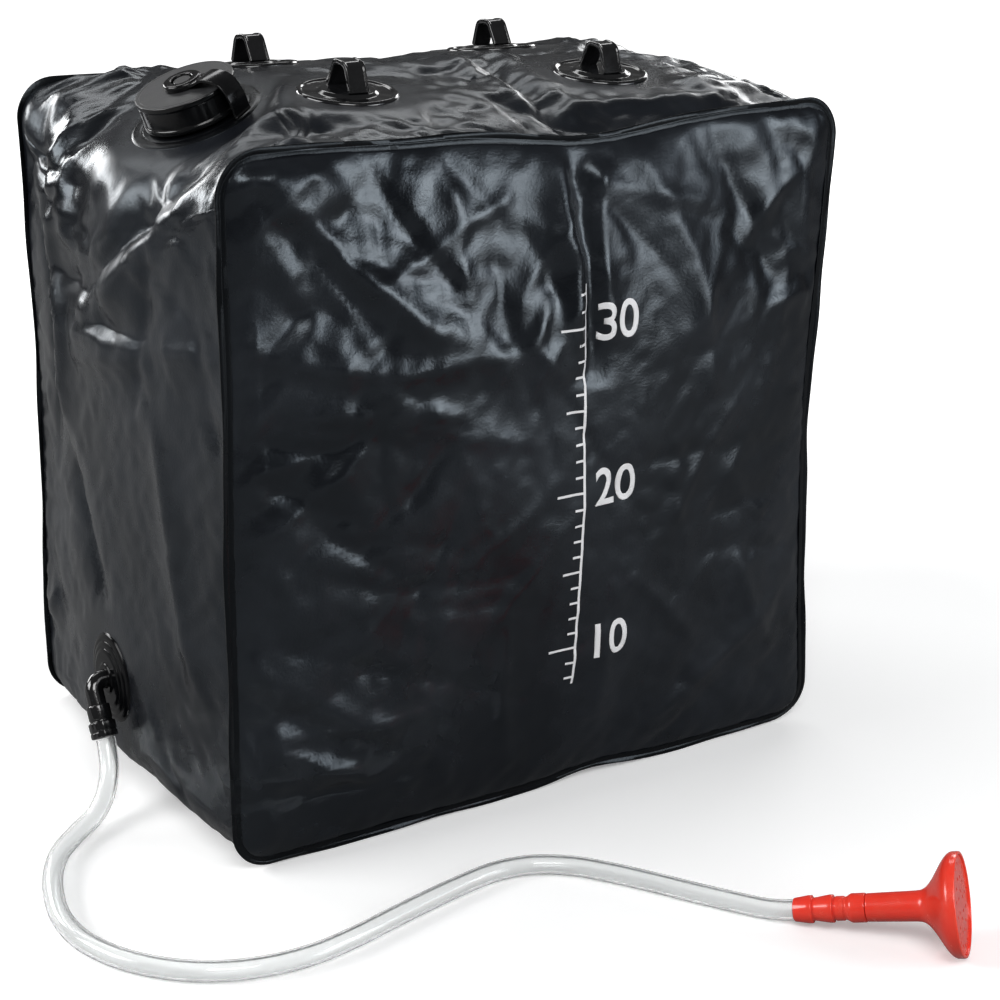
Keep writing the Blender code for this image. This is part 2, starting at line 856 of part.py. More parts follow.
def add_loop_patch(name, frame):
    low = clearance
    sheet_top = low + patch_thickness
    rim_top = sheet_top + patch_rim_height
    seat_top = low + patch_thickness + patch_seat_height
    seat_radius = math.hypot(loop_foot_length, loop_width) / 2 + clearance
    slope = patch_seat_height
    outline = [
        (0, seat_top),
        (seat_radius, seat_top),
        (seat_radius + slope, sheet_top),
        (patch_radius - patch_rim_width, sheet_top),
        (patch_radius - patch_rim_width * 2 / 3, rim_top),
        (patch_radius - patch_rim_width / 3, rim_top),
        (patch_radius, sheet_top),
        (patch_radius, low),
        (0, low),
    ]
    turned(name, outline, fitting_black, frame, closed=False, steps=small_turned_steps)
    return seat_top


def add_carry_loop(name, frame, seat_top):
    """An arch of flat band, drawn as one outline and given its width."""
    foot, top = loop_foot_length / 2, loop_top_length / 2
    outer = [(-foot, 0), (-top, loop_height), (top, loop_height), (foot, 0)]
    lean = loop_band * math.hypot(foot - top, loop_height) / loop_height
    inner_top = top - loop_band / 2
    inner_high = loop_height - loop_band
    inner_foot = foot - lean
    corners = outer + [
        (inner_foot, 0),
        (inner_top, inner_high),
        (-inner_top, inner_high),
        (-inner_foot, 0),
    ]
    smoothed = rounded_outline(corners, loop_round, 3)
    per_corner = len(smoothed) // len(corners)
    sharp = {0, 3, 4, 7}
    points = []
    for i, corner in enumerate(corners):
        run = smoothed[i * per_corner : (i + 1) * per_corner]
        points += [Vector(corner)] if i in sharp else run
    curve = bpy.data.curves.new(name, "CURVE")
    curve.dimensions = "2D"
    curve.fill_mode = "BOTH"
    curve.extrude = loop_width / 2
    line = curve.splines.new("POLY")
    line.points.add(len(points) - 1)
    line.use_cyclic_u = True
    for place, point in zip(line.points, points):
        place.co = (point.x, point.y, 0, 1)
    made = add_object(name, curve, fitting_black, frame)
    outline_plane = Matrix(((0, 0, 1, 0), (1, 0, 0, 0), (0, 1, 0, 0), (0, 0, 0, 1)))
    made.matrix_basis = Matrix.Translation((0, 0, seat_top + clearance)) @ outline_plane


for place_name, loop_matrix in loop_matrices.items():
    loop_frame = add_frame(f"loop_place_{place_name}", loop_matrix)
    loop_seat = add_loop_patch(f"loop_patch_{place_name}", loop_frame)
    add_carry_loop(f"carry_loop_{place_name}", loop_frame, loop_seat)


# Outlet: fitting through the left wall, with its seal and back nut, and the elbow that turns in it

outlet_frame = add_frame("outlet_axis", outlet_matrix)
leg_down = Vector((0, -math.sin(elbow_lean), -math.cos(elbow_lean)))
leg_end = outlet_matrix @ Vector((0, 0, elbow_reach)) + leg_down * elbow_leg
leg_frame = add_frame("elbow_leg_end", frame_on(leg_end, leg_down))
socket_radius = elbow_radius + clearance
face_height = clearance + outlet_base + 3 * outlet_step
boss_top = face_height + outlet_step


def add_outlet_flange():
    """The fitting: three steps up to a raised face, a boss with the socket, and a tail inside."""
    outline = [
        (socket_radius, boss_top),
        (outlet_tail_radius, boss_top),
        (outlet_tail_radius + outlet_step, face_height),
    ]
    for step in (2, 1, 0):
        edge = outlet_radius - step * 2 * outlet_step_width
        high = clearance + outlet_base + (step + 1) * outlet_step
        outline += [
            (edge - outlet_step_width * 3 / 2, high),
            (edge - outlet_step_width / 2, high - outlet_step / 2),
        ]
    outline += [
        (outlet_radius, clearance + outlet_base / 2),
        (outlet_radius, clearance),
        (outlet_tail_radius, clearance),
        (outlet_tail_radius, -outlet_tail_length),
        (socket_radius, -outlet_tail_length),
    ]
    turned("outlet_flange", outline, fitting_black, outlet_frame)


def add_outlet_seal():
    high = under_film
    low = high - seal_thickness
    inner = outlet_tail_radius + clearance
    outline = [(inner, high), (seal_radius, high), (seal_radius, low), (inner, low)]
    turned("outlet_seal", outline, seal_grey, outlet_frame, steps=small_turned_steps)
    return low


def add_outlet_nut(below):
    high = below - clearance
    outline = [(0, high), (nut_radius, high), (nut_radius, high - nut_thickness)]
    outline += [(0, high - nut_thickness)]
    nut = turned("outlet_nut", outline, fitting_black, outlet_frame, closed=False, steps=6)
    bore = round_cutter(
        "nut_bore",
        outlet_tail_radius + clearance,
        high - nut_thickness - overrun,
        high + overrun,
        outlet_frame,
        small_turned_steps,
    )
    cut(nut, bore)


def elbow_path(start, leg_end):
    """From start on the outlet's axis, round the bend, to leg_end down the leaning leg."""
    out = Vector((0, 0, 1))
    down = Vector((-math.cos(elbow_lean), -math.sin(elbow_lean), 0))
    corner = out * elbow_reach
    centre = corner + (down - out) * elbow_bend
    points = [out * start, out * (elbow_reach - elbow_bend)]
    bend_steps = 6
    for k in range(1, bend_steps + 1):
        angle = k / bend_steps * math.pi / 2
        swing = -down * math.cos(angle) + out * math.sin(angle)
        points.append(centre + swing * elbow_bend)
    points.append(corner + down * leg_end)
    return points


def add_outlet_elbow():
    arm_start = -outlet_tail_length + clearance
    outer = tube(
        "outlet_elbow", elbow_path(arm_start, elbow_leg), elbow_radius, fitting_black, outlet_frame, 5
    )
    elbow = as_mesh(outer, fitting_black)
    inner_path = elbow_path(arm_start - overrun, elbow_leg + overrun)
    inner = tube("elbow_bore", inner_path, elbow_bore_radius, None, outlet_frame, 3)
    cut(elbow, as_mesh(inner, None))
    ring_centre = elbow_radius - groove_depth + clearance + ring_section
    groove_half = ring_section + clearance
    groove = [
        (elbow_radius + overrun, groove_half),
        (elbow_radius + overrun, -groove_half),
        (elbow_radius - groove_depth, -groove_half),
        (elbow_radius - groove_depth, groove_half),
    ]
    groove_cutter = turned("elbow_groove", groove, None, outlet_frame, steps=small_turned_steps)
    cut(elbow, groove_cutter)
    return ring_centre


def ring_outline(centre_radius, height, section, points=8):
    """The round section of an O-ring."""
    return [
        (
            centre_radius + section * math.sin(2 * math.pi * k / points),
            height + section * math.cos(2 * math.pi * k / points),
        )
        for k in range(points)
    ]


def add_elbow_o_ring(centre_radius):
    outline = ring_outline(centre_radius, 0, ring_section)
    turned("elbow_o_ring", outline, seal_grey, outlet_frame, steps=small_turned_steps)


def add_hose_collar():
    """Ring, waist and nut on the end of the elbow's leg, whose frame points down the leg."""
    inner = elbow_radius + clearance
    nut = inner + collar_wall
    ring = inner + collar_wall * ring_wall_share
    chamfer = collar_wall / 4
    waist = nut_length + 2 * chamfer
    outline = [
        (nut - chamfer, 0),
        (nut, -chamfer),
        (nut, -nut_length + chamfer),
        (ring - chamfer, -nut_length),
        (ring - chamfer, -waist),
        (ring, -waist - chamfer),
        (ring, -collar_length + chamfer),
        (ring - chamfer, -collar_length),
        (inner, -collar_length),
        (inner, 0),
    ]
    turned("hose_collar", outline, fitting_black, leg_frame, steps=small_turned_steps)


add_outlet_flange()
seal_low = add_outlet_seal()
add_outlet_nut(seal_low)
o_ring_radius = add_outlet_elbow()
add_elbow_o_ring(o_ring_radius)
add_hose_collar()
outlet_hole = round_cutter(
    "outlet_hole",
    outlet_tail_radius + clearance,
    -overrun,
    overrun,
    outlet_frame,
    small_turned_steps,
)
cut(left_wall, outlet_hole)


# Shower head: it lies with the bell's lip on the ground and its stem held up by the hose

barbs_length = 2 * (barb_length + barb_gap)
ring_end = barbs_length + stem_ring_length
collar_start = ring_end + barb_gap
collar_end = collar_start + stem_collar_length
shell_start = collar_end + clearance
bell_start = shell_start + shell_neck_length
face_end = bell_start + shell_bell_length
contact = face_end - bell_lip
spread = math.hypot(contact, bell_radius)
head_rise = math.atan2(bell_radius, contact) - math.asin((stem_height - floor_gap) / spread)
head_direction = Vector(
    (
        math.cos(head_heading) * math.cos(head_rise),
        math.sin(head_heading) * math.cos(head_rise),
        math.sin(head_rise),
    )
)
head_frame = add_frame(
    "head_axis", frame_on((head_x, head_y, stem_height), head_direction)
)


# Hose


def hose_line():
    """The route as one smooth line, whose ends run straight so that they meet the fittings."""
    line = smooth_line(hose_route, hose_points_apart)
    start, end = line[0], line[-1]
    out = np.array(leg_down)
    back = -np.array(head_direction)
    return [start, start + out * hose_end_run, *line[1:-1], end + back * hose_end_run, end]


tube("hose", hose_line(), hose_radius, hose_clear, None, 2)


def add_valve_stem():
    """Two barbs and a collar outside, and a smooth spigot inside the shell with a seal groove."""
    groove_at = collar_end + spigot_length * 0.55
    groove_half = ring_section + clearance
    outside = [(barb_small_radius, 0)]
    for barb in range(2):
        start = barb * (barb_length + barb_gap)
        outside += [
            (barb_large_radius, start + barb_length * 0.8),
            (barb_large_radius, start + barb_length),
            (barb_waist_radius, start + barb_length),
            (barb_waist_radius, start + barb_length + barb_gap),
        ]
    outside += [
        (stem_ring_radius, barbs_length),
        (stem_ring_radius, ring_end),
        (barb_waist_radius, ring_end),
        (barb_waist_radius, collar_start),
        (stem_collar_radius, collar_start + stem_collar_length / 4),
        (stem_collar_radius, collar_end),
        (spigot_radius, collar_end),
        (spigot_radius, groove_at - groove_half),
        (spigot_radius - groove_depth, groove_at - groove_half),
        (spigot_radius - groove_depth, groove_at + groove_half),
        (spigot_radius, groove_at + groove_half),
        (spigot_radius, collar_end + spigot_length),
        (stem_bore_radius, collar_end + spigot_length),
        (stem_bore_radius, 0),
    ]
    turned("valve_stem", outside[::-1], head_red, head_frame, steps=small_turned_steps)
    centre = spigot_radius - groove_depth + clearance + ring_section
    outline = ring_outline(centre, groove_at, ring_section)
    turned("stem_o_ring", outline, seal_grey, head_frame, steps=small_turned_steps)


def bell_outside(steps=10):
    """The trumpet's outer line from the neck to the lip: a flare that turns over at the rim."""
    points = []
    for k in range(steps + 1):
        t = k / steps
        flare = 0.5 - 0.5 * math.cos(math.pi * t**1.15)
        radius = neck_radius_front + (bell_radius - neck_radius_front) * flare
        points.append((radius, bell_start + (shell_bell_length - bell_lip) * t))
    return points


def add_head_shell():
    bore = spigot_radius + clearance
    outside = [(neck_radius_back, shell_start), *bell_outside()]
    outside += [
        (bell_radius, face_end - bell_lip / 3),
        (bell_radius - shell_wall / 2, face_end),
        (bell_radius - shell_wall, face_end),
    ]
    seat = face_end - plate_recess - plate_thickness - clearance
    inside = [(bell_radius - shell_wall, seat)]
    inside += [(bell_radius - 2 * shell_wall, seat)]
    for radius, along in reversed(bell_outside()):
        inner = max(bore, radius - 1.6 * shell_wall)
        if inner < bell_radius - 2.1 * shell_wall and along < seat - shell_wall:
            inside.append((inner, along))
    inside += [(bore, bell_start - shell_wall), (bore, shell_start)]
    outline = (outside + inside)[::-1]
    turned("head_shell", outline, head_red, head_frame)


def add_spray_plate():
    """The plate in the bell's mouth, with rings of holes and the pin that plugs the stem."""
    high = face_end - plate_recess
    low = high - plate_thickness
    radius = bell_radius - shell_wall - clearance
    pin_radius = stem_bore_radius - clearance
    pin_end = collar_end + spigot_length - pin_length
    outline = [
        (0, high),
        (radius, high),
        (radius, low),
        (2 * pin_radius, low),
        (pin_radius, low - 2 * pin_radius),
        (pin_radius, pin_end + pin_radius),
        (pin_radius / 2, pin_end),
        (0, pin_end),
    ]
    plate = turned("spray_plate", outline, head_red, head_frame, closed=False)
    mesh = bpy.data.meshes.new("spray_holes")
    work = bmesh.new()
    for ring in range(1, spray_rings + 1):
        count = 6 * ring
        ring_radius = (radius - 4 * spray_hole_radius) * ring / spray_rings
        for k in range(count):
            place = Vector((ring_radius, 0, (low + high) / 2))
            place.rotate(Matrix.Rotation((k + 0.3) * 2 * math.pi / count, 3, "Z"))
            bmesh.ops.create_cone(
                work,
                cap_ends=True,
                segments=6,
                radius1=spray_hole_radius,
                radius2=spray_hole_radius,
                depth=high - low + 2 * overrun,
                matrix=Matrix.Translation(place),
            )
    work.to_mesh(mesh)
    work.free()
    cut(plate, add_object("spray_holes", mesh, None, head_frame))


add_valve_stem()
add_head_shell()
add_spray_plate()
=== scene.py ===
"""A camp shower bag: a box of black vinyl film that holds 40 litres of water, with a screw cap
and four carry loops on top, and an outlet elbow, a clear hose and a red shower head.

Metres, +Z up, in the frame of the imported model. The sections follow the bag as it is put together.
"""

import math

import bmesh
import bpy
import numpy as np
from mathutils import Matrix, Vector


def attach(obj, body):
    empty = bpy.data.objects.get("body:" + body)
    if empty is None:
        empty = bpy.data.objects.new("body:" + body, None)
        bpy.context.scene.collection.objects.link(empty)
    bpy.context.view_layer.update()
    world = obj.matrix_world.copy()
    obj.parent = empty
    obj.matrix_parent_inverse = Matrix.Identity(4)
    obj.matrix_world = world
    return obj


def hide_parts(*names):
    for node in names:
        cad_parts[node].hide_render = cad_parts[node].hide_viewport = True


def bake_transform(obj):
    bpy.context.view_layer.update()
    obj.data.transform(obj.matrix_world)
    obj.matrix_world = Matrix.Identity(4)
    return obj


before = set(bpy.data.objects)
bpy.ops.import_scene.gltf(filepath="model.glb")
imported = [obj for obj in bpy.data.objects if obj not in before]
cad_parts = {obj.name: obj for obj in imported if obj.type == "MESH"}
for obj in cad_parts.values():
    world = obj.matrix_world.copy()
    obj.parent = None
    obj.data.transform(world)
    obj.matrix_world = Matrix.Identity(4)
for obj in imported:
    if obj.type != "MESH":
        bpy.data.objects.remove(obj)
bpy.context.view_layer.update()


# The film: black vinyl, drawn 0.8 mm thick, cut as two square panels and one long strip, the
# gusset, that runs round between them. Filled with water, the panels and the walls swell, the top
# sags into its creases, and the base lies flat on the ground.

film_thickness = 0.0008
half_depth = 0.1340
panel_half_width = 0.195
panel_low, panel_high = 0.005, 0.391
panel_round = 0.020
panel_swell = 0.016
panel_puff, puff_reach = 0.0040, 0.03
wall_out = 0.2085
wall_top = 0.408
shoulders = ((0.150, 0.100), (0.080, 0.070), (0.045, 0.045), (0.045, 0.045))
base_flat_share = 0.60


def ring_table(half_width, low, high, corners, steps=64):
    """A rounded rectangle in X and Z, clockwise from the start of its top left corner.

    Place number s goes from 0 to 8. An elliptic arc takes each even step, with an angle that
    grows evenly, and the straight run to the next arc takes the odd step after it.
    """
    centres = (
        (-half_width + corners[0][0], high - corners[0][1]),
        (half_width - corners[1][0], high - corners[1][1]),
        (half_width - corners[2][0], low + corners[2][1]),
        (-half_width + corners[3][0], low + corners[3][1]),
    )
    turns = np.linspace(0, 1, steps + 1)
    places, points = [], []
    for corner in range(4):
        angle = np.pi - (corner + turns) * np.pi / 2
        arc = centres[corner] + np.column_stack([np.cos(angle), np.sin(angle)]) * corners[corner]
        places.append(2 * corner + turns)
        points.append(arc)
    return np.concatenate([*places, [8.0]]), np.vstack([*points, points[0][:1]])


weld_ring = ring_table(panel_half_width, panel_low, panel_high, [(panel_round,) * 2] * 4)
middle_ring = ring_table(wall_out, 0.0, wall_top, shoulders)


def on_ring(ring, s):
    """The ring's point at place number s, straight between the points of its table."""
    return np.stack([np.interp(s % 8, ring[0], column) for column in ring[1].T], axis=-1)


def lengths_along(line):
    """The length along a line of points, at each of them."""
    return np.r_[0, np.cumsum(np.linalg.norm(np.diff(line, axis=0), axis=1))]


def even_places(ring, count):
    """Place numbers a fixed share of the length apart, from corner middle to corner middle."""
    made = []
    for start in (0.5, 2.5, 4.5, 6.5):
        s = np.linspace(start, start + 2, 400)
        length = lengths_along(on_ring(ring, s))
        made.append(np.interp(np.linspace(0, length[-1], count + 1)[:-1], length, s))
    return np.concatenate(made)


def near(value, centre, width):
    """A hump: e to the minus square of the distance from centre over width."""
    return np.exp(-(((value - centre) / width) ** 2))


# How far the film draws in each side of the weld line: humps of (height, place along it, width).
front_pulls = {
    "top": ((0.0085, 0.024, 0.062), (0.0012, -0.09, 0.03)),
    "right": ((0.0070, 0.21, 0.10), (-0.0045, 0.01, 0.05)),
    "low": ((0.0034, 0.04, 0.03),),
    "left": ((0.0012, 0.28, 0.05),),
}
back_pulls = {
    "top": ((0.005, 0.03, 0.10),),
    "right": ((0.006, 0.2, 0.12),),
    "low": (),
    "left": ((0.004, 0.22, 0.12),),
}


def weld_line(s, front):
    """The weld's ring, each side drawn in by the sum of its humps: in Z along the top and the
    bottom, in X along the right and the left, and by nothing in the corners."""
    x, z = np.moveaxis(on_ring(weld_ring, s), -1, 0)
    on_side = {"top": z - 0.37, "right": x - 0.17, "low": 0.03 - z, "left": -x - 0.17}
    pull = {}
    for side, humps in (front_pulls if front else back_pulls).items():
        along = x if side in ("top", "low") else z
        share = np.clip(on_side[side] / (0.015 if side == "top" else 0.02), 0, 1)
        pull[side] = share * sum(height * near(along, place, width) for height, place, width in humps)
    return np.stack([x + pull["left"] - pull["right"], z + pull["low"] - pull["top"]], axis=-1)


def gusset_points(columns_a_side, rows):
    """The gusset as a grid of rows from front to back and columns round the bag.

    At depth share v from -1 to 1 a point lies between the weld line and the ring at mid depth:
    P = weld + (ring - weld)(1 - v squared). Over the base it reaches the ground sooner, and
    stays on it over the flat middle.
    """
    at_weld = even_places(weld_ring, columns_a_side)
    at_ring = even_places(middle_ring, columns_a_side)
    v = np.linspace(-1, 1, rows + 1)[:, None]
    swell = 1 - v**2
    s = at_weld + (at_ring - at_weld) * swell
    base = np.interp(s % 8, [0, 4, 5, 6, 7, 8], [0, 0, 1, 1, 0, 0])
    away = np.clip((np.abs(v) - base_flat_share) / (1 - base_flat_share), 0, 1)
    share = (1 - base) * swell + base * (1 - away**2 * (3 - 2 * away))
    front, behind = weld_line(s, True), weld_line(s, False)
    weld = front + (behind - front) * (v[..., None] + 1) / 2
    flat = weld + (on_ring(middle_ring, s) - weld) * share[..., None]
    return np.stack([flat[..., 0], np.broadcast_to(v * half_depth, s.shape), flat[..., 1]], axis=-1)


def panel_points(cells, front):
    """A panel as a grid: the sheet blended between the four sides of its weld line.

    It swells by (1 - a squared)(1 - b squared), a and b going from -1 to 1 between opposite
    sides, with a steeper puff just inside the weld.
    """
    line = weld_line(even_places(weld_ring, cells), front)
    line = np.vstack([line, line[:1]])
    top, right = line[: cells + 1], line[cells : 2 * cells + 1]
    bottom, left = line[2 * cells : 3 * cells + 1][::-1], line[3 * cells :][::-1]
    u = np.linspace(0, 1, cells + 1)[None, :, None]
    w = np.linspace(0, 1, cells + 1)[:, None, None]
    ruled = (1 - w) * top[None] + w * bottom[None] + (1 - u) * left[:, None] + u * right[:, None]
    corners = (1 - w) * ((1 - u) * top[0] + u * top[-1]) + w * ((1 - u) * bottom[0] + u * bottom[-1])
    x, z = np.moveaxis(ruled - corners, -1, 0)
    rim = np.minimum(np.minimum(u, 1 - u), np.minimum(w, 1 - w))[..., 0]
    swell = (1 - (2 * u - 1) ** 2) * (1 - (2 * w - 1) ** 2)
    y = half_depth + panel_swell * swell[..., 0] + panel_puff * (1 - np.exp(-rim / puff_reach))
    return np.stack([x, -y if front else y, z], axis=-1)


# Where a stiff fitting is welded to the film, the film lies flat against it. A stand is a point on
# the fitting's axis and the axis. A pad adds the flat radius, and the run-out in which it fades.

filler_stand = ((-0.148, -0.006, 0.3895), (-0.373908, -0.061049, 0.925454))
outlet_stand = ((-0.2085, 0, 0.069), (-1, 0, 0))
loop_stands = {
    f"{end}_{side}": ((x, y, 0.404772), (0, math.copysign(0.110631, y), 0.993862))
    for end, y in (("front", -0.058), ("back", 0.058))
    for side, x in (("left", -0.083), ("right", 0.083))
}
pads = (
    (*filler_stand, 0.044, 0.037),
    *((*stand, 0.035, 0.028) for stand in loop_stands.values()),
    (*outlet_stand, 0.0335, 0.0265),
)


def pad_pull(points):
    """For each pad, how strongly it holds each point: 1 on it, 0 past its run-out."""
    pulls = []
    for place, axis, radius, run_out in pads:
        local = points - np.array(place)
        along = local @ np.array(axis)
        across = np.linalg.norm(local - along[..., None] * np.array(axis), axis=-1)
        away = np.clip((across - radius) / run_out, 0, 1)
        pulls.append(np.where(np.abs(along) < run_out, 1 - away**2 * (3 - 2 * away), 0))
    return np.array(pulls)


def pressed_flat(points):
    """The points drawn onto the pads' planes, by each pad's pull over the sum of the pulls."""
    pulls = pad_pull(points)
    weights = pulls / (1 - pulls + 1e-6)
    total = weights.sum(0)
    moved = np.zeros_like(points)
    for (place, axis, *_), weight in zip(pads, weights):
        along = (points - np.array(place)) @ np.array(axis)
        moved -= (weight * along)[..., None] * np.array(axis)
    share = np.where(total > 0, pulls.max(0) / np.maximum(total, 1e-9), 0)
    return points + moved * share[..., None]


# The folds that the film keeps from being packed flat, and the creases that run from the corners,
# where it has film to spare. Each is its height out of the film, with a minus for a valley, its
# half width, and a line of points near the film, all in millimetres.

creases = (
    (7, 12, ((-192, -119, 376), (-196, -100, 362), (-202, -72, 341), (-207, -45, 322), (-208, -19, 304),
        (-208, 6, 291), (-208, 25, 282))),
    (-6, 10, ((-182, -92, 377), (-192, -79, 363), (-199, -57, 347), (-206, -30, 327), (-208, -5, 308),
        (-208, 17, 292))),
    (5, 9, ((-207, 41, 269), (-208, 14, 271), (-208, -9, 276), (-207, -42, 279), (-204, -74, 283),
        (-200, -102, 286), (-196, -126, 291))),
    (-5, 8, ((-208, 19, 279), (-208, -11, 282), (-207, -36, 282), (-205, -64, 283), (-203, -82, 284))),
    (4, 10, ((-207, 39, 254), (-208, 5, 260), (-208, -17, 266), (-205, -63, 274))),
    (6, 11, ((-180, 115, 385), (-188, 92, 371), (-195, 79, 359), (-204, 63, 332), (-204, 72, 302),
        (-205, 61, 283), (-206, 52, 269), (-206, 57, 241), (-205, 59, 210), (-206, 56, 179))),
    (-5, 9, ((-187, 115, 379), (-197, 96, 360), (-203, 83, 334), (-201, 94, 302), (-200, 96, 272),
        (-201, 88, 249), (-200, 93, 211), (-201, 92, 168))),
    (6, 9, ((-179, 117, 386), (-177, 101, 383), (-177, 83, 379), (-183, 73, 372), (-190, 70, 364),
        (-199, 65, 348), (-203, 64, 339))),
    (6, 10, ((-162, 40, 387), (-173, 35, 382), (-183, 32, 376), (-191, 36, 366), (-195, 49, 354),
        (-200, 54, 345), (-203, 62, 337))),
    (5, 8, ((-179, -9, 377), (-191, -12, 371), (-200, -5, 362), (-202, 8, 352), (-203, 19, 342),
        (-205, 19, 331))),
    (5, 8, ((-180, -29, 375), (-192, -37, 366), (-201, -29, 350), (-205, -18, 337), (-207, -2, 321),
        (-208, 4, 303))),
    (5, 8, ((-173, -56, 376), (-184, -69, 369), (-193, -71, 360), (-197, -66, 353))),
    (4, 8, ((-199, -38, 352), (-203, -31, 341), (-205, -25, 332), (-207, -15, 322), (-208, -4, 312))),
    (6, 13, ((-174, -137, 381), (-171, -137, 379), (-156, -139, 363), (-140, -141, 346),
        (-113, -144, 319), (-84, -148, 297), (-54, -150, 282))),
    (-4, 14, ((-181, -137, 376), (-166, -139, 357), (-151, -141, 339), (-127, -144, 315),
        (-102, -147, 294))),
    (4, 9, ((-144, -121, 394), (-153, -136, 385), (-143, -139, 369), (-140, -140, 361))),
    (4, 9, ((-193, -134, 379), (-183, -137, 380), (-172, -137, 380), (-161, -135, 388),
        (-144, -121, 394))),
    (7, 10, ((7, -126, 386), (1, -138, 375), (0, -144, 345), (4, -146, 327), (7, -147, 317),
        (7, -150, 294), (8, -151, 275), (11, -152, 258))),
    (-7, 9, ((10, -132, 384), (10, -140, 366), (12, -144, 344), (16, -147, 320), (17, -150, 293),
        (17, -152, 265), (14, -152, 252))),
    (5, 8, ((28, -138, 373), (23, -144, 341), (25, -147, 318), (27, -150, 292), (31, -151, 269))),
    (4, 9, ((-9, -149, 305), (-17, -150, 292), (-22, -151, 279), (-12, -152, 266), (2, -152, 255))),
    (4, 10, ((-194, -133, 293), (-176, -140, 289), (-154, -143, 284), (-130, -145, 278),
        (-103, -148, 273), (-79, -149, 274), (-54, -150, 276), (-24, -151, 275))),
    (-3.5, 12, ((-194, -134, 287), (-174, -140, 280), (-153, -143, 272), (-125, -146, 265),
        (-106, -148, 264))),
    (4, 10, ((-165, -142, 251), (-156, -143, 256), (-142, -145, 255), (-124, -147, 253),
        (-111, -148, 259), (-103, -148, 266))),
    (-6, 11, ((-204, 71, 226), (-205, 62, 196), (-207, 47, 163), (-208, 29, 132), (-208, 8, 108),
        (-208, -19, 93), (-207, -49, 74))),
    (5, 13, ((-205, -61, 253), (-204, -74, 211), (-203, -82, 179), (-202, -94, 125), (-199, -113, 85))),
    (4, 9, ((-200, 101, 87), (-198, 117, 64))),
    (3.5, 10, ((-190, -137, 127), (-166, -141, 106), (-137, -143, 86), (-100, -144, 65))),
    (3.5, 10, ((-189, -136, 81), (-161, -141, 63), (-124, -142, 45), (-85, -141, 32))),
    (-3, 10, ((-188, -137, 104), (-161, -141, 84), (-131, -143, 66))),
    (5, 9, ((21, 29, 407), (12, -31, 407), (7, -70, 402), (3, -102, 395), (1, -124, 388))),
    (-5, 8, ((38, 28, 407), (29, -30, 407), (21, -74, 401), (16, -105, 393), (12, -122, 388))),
    (5, 8, ((50, 20, 408), (45, -32, 407), (37, -73, 402), (32, -103, 393), (17, -126, 386))),
    (6, 12, ((19, -111, 391), (49, -107, 392), (77, -116, 393), (109, -119, 394), (143, -117, 395))),
    (5, 9, ((-184, -117, 382), (-153, -92, 394), (-124, -81, 401), (-88, -69, 404), (-57, -69, 403))),
    (-4, 9, ((-179, -134, 390), (-146, -112, 396), (-109, -98, 400), (-73, -98, 400), (-43, -99, 398))),
    (5, 10, ((104, -29, 408), (110, -61, 404), (120, -96, 399), (141, -115, 395))),
    (4, 12, ((43, -134, 383), (66, -142, 353), (86, -146, 318), (98, -148, 277), (105, -149, 229))),
    (-4, 12, ((99, -133, 389), (119, -141, 354), (139, -143, 318), (153, -143, 281))),
    (4, 10, ((169, -139, 358), (146, -141, 340), (127, -144, 316))),
    (3.5, 12, ((168, -139, 54), (143, -143, 95), (130, -145, 137))),
    (3, 12, ((30, -143, 42), (33, -147, 75), (33, -150, 107))),
)


def unit(vectors):
    """Each vector over its own length."""
    return vectors / np.maximum(np.linalg.norm(vectors, axis=-1, keepdims=True), 1e-12)


def grid_normals(points, round_columns):
    """Unit normals of a grid, from the cross product of its differences along rows and columns."""
    down = np.gradient(points, axis=0)
    if round_columns:
        across = (np.roll(points, -1, axis=1) - np.roll(points, 1, axis=1)) / 2
    else:
        across = np.gradient(points, axis=1)
    return unit(np.cross(across, down))


crest_round = 0.15


def crease_heights(points, lines):
    """The sum over the creases of height times e to the minus (distance over half width), with a
    rounded crest, that fades to nothing at the crease's two ends."""
    flat = points.reshape(-1, 3)
    total = np.zeros(len(flat))
    for height, width, line in lines:
        line = np.array(line, float) / 1000
        starts = lengths_along(line)
        best = np.full(len(flat), 1e9)
        place = np.zeros(len(flat))
        for a, b, start, leg in zip(line, line[1:], starts, np.diff(starts)):
            share = np.clip(((flat - a) @ (b - a)) / leg**2, 0, 1)
            away = np.linalg.norm(flat - a - share[:, None] * (b - a), axis=1)
            closer = away < best
            best = np.where(closer, away, best)
            place = np.where(closer, (start + share * leg) / starts[-1], place)
        fade = np.clip(4 * place * (1 - place), 0, 1) ** 0.6
        reach = width / 1000
        crest = np.sqrt(best**2 + (crest_round * reach) ** 2) - crest_round * reach
        total += height / 1000 * fade * np.exp(-crest / reach)
    return total.reshape(points.shape[:-1])


def crumple_weights(points):
    """How likely a crease is at each point: most on the left shoulder, many on the top and along
    the front's left and upper edges, few on the front's middle, and none underneath."""
    x, y, z = np.moveaxis(points, -1, 0)
    up = np.clip((z - 0.24) / 0.10, 0, 1)
    left = np.clip((-x - 0.03) / 0.15, 0, 1)
    middle = near(x, 0.03, 0.12) * near(z, 0.17, 0.11)
    on_gusset = 0.7 + 1.6 * up + 2.6 * up * left
    on_panel = 1.0 + 0.7 * up + 0.8 * left - 0.6 * middle
    weights = np.where(np.abs(y) > half_depth - 0.0001, on_panel, on_gusset)
    return weights * np.clip((z - 0.012) / 0.03, 0, 1)


crumple_length = (0.035, 0.130)
crumple_turns, turn_spread, bend_spread = (0.25, 0.8, 1.5), 0.25, 0.18
crumple_steepness = 20
crumple_half_width = (3.5, 7.0)
crowded, crowded_share = 2.2, 0.25
grid_cell, closest = 0.0034, 0.002


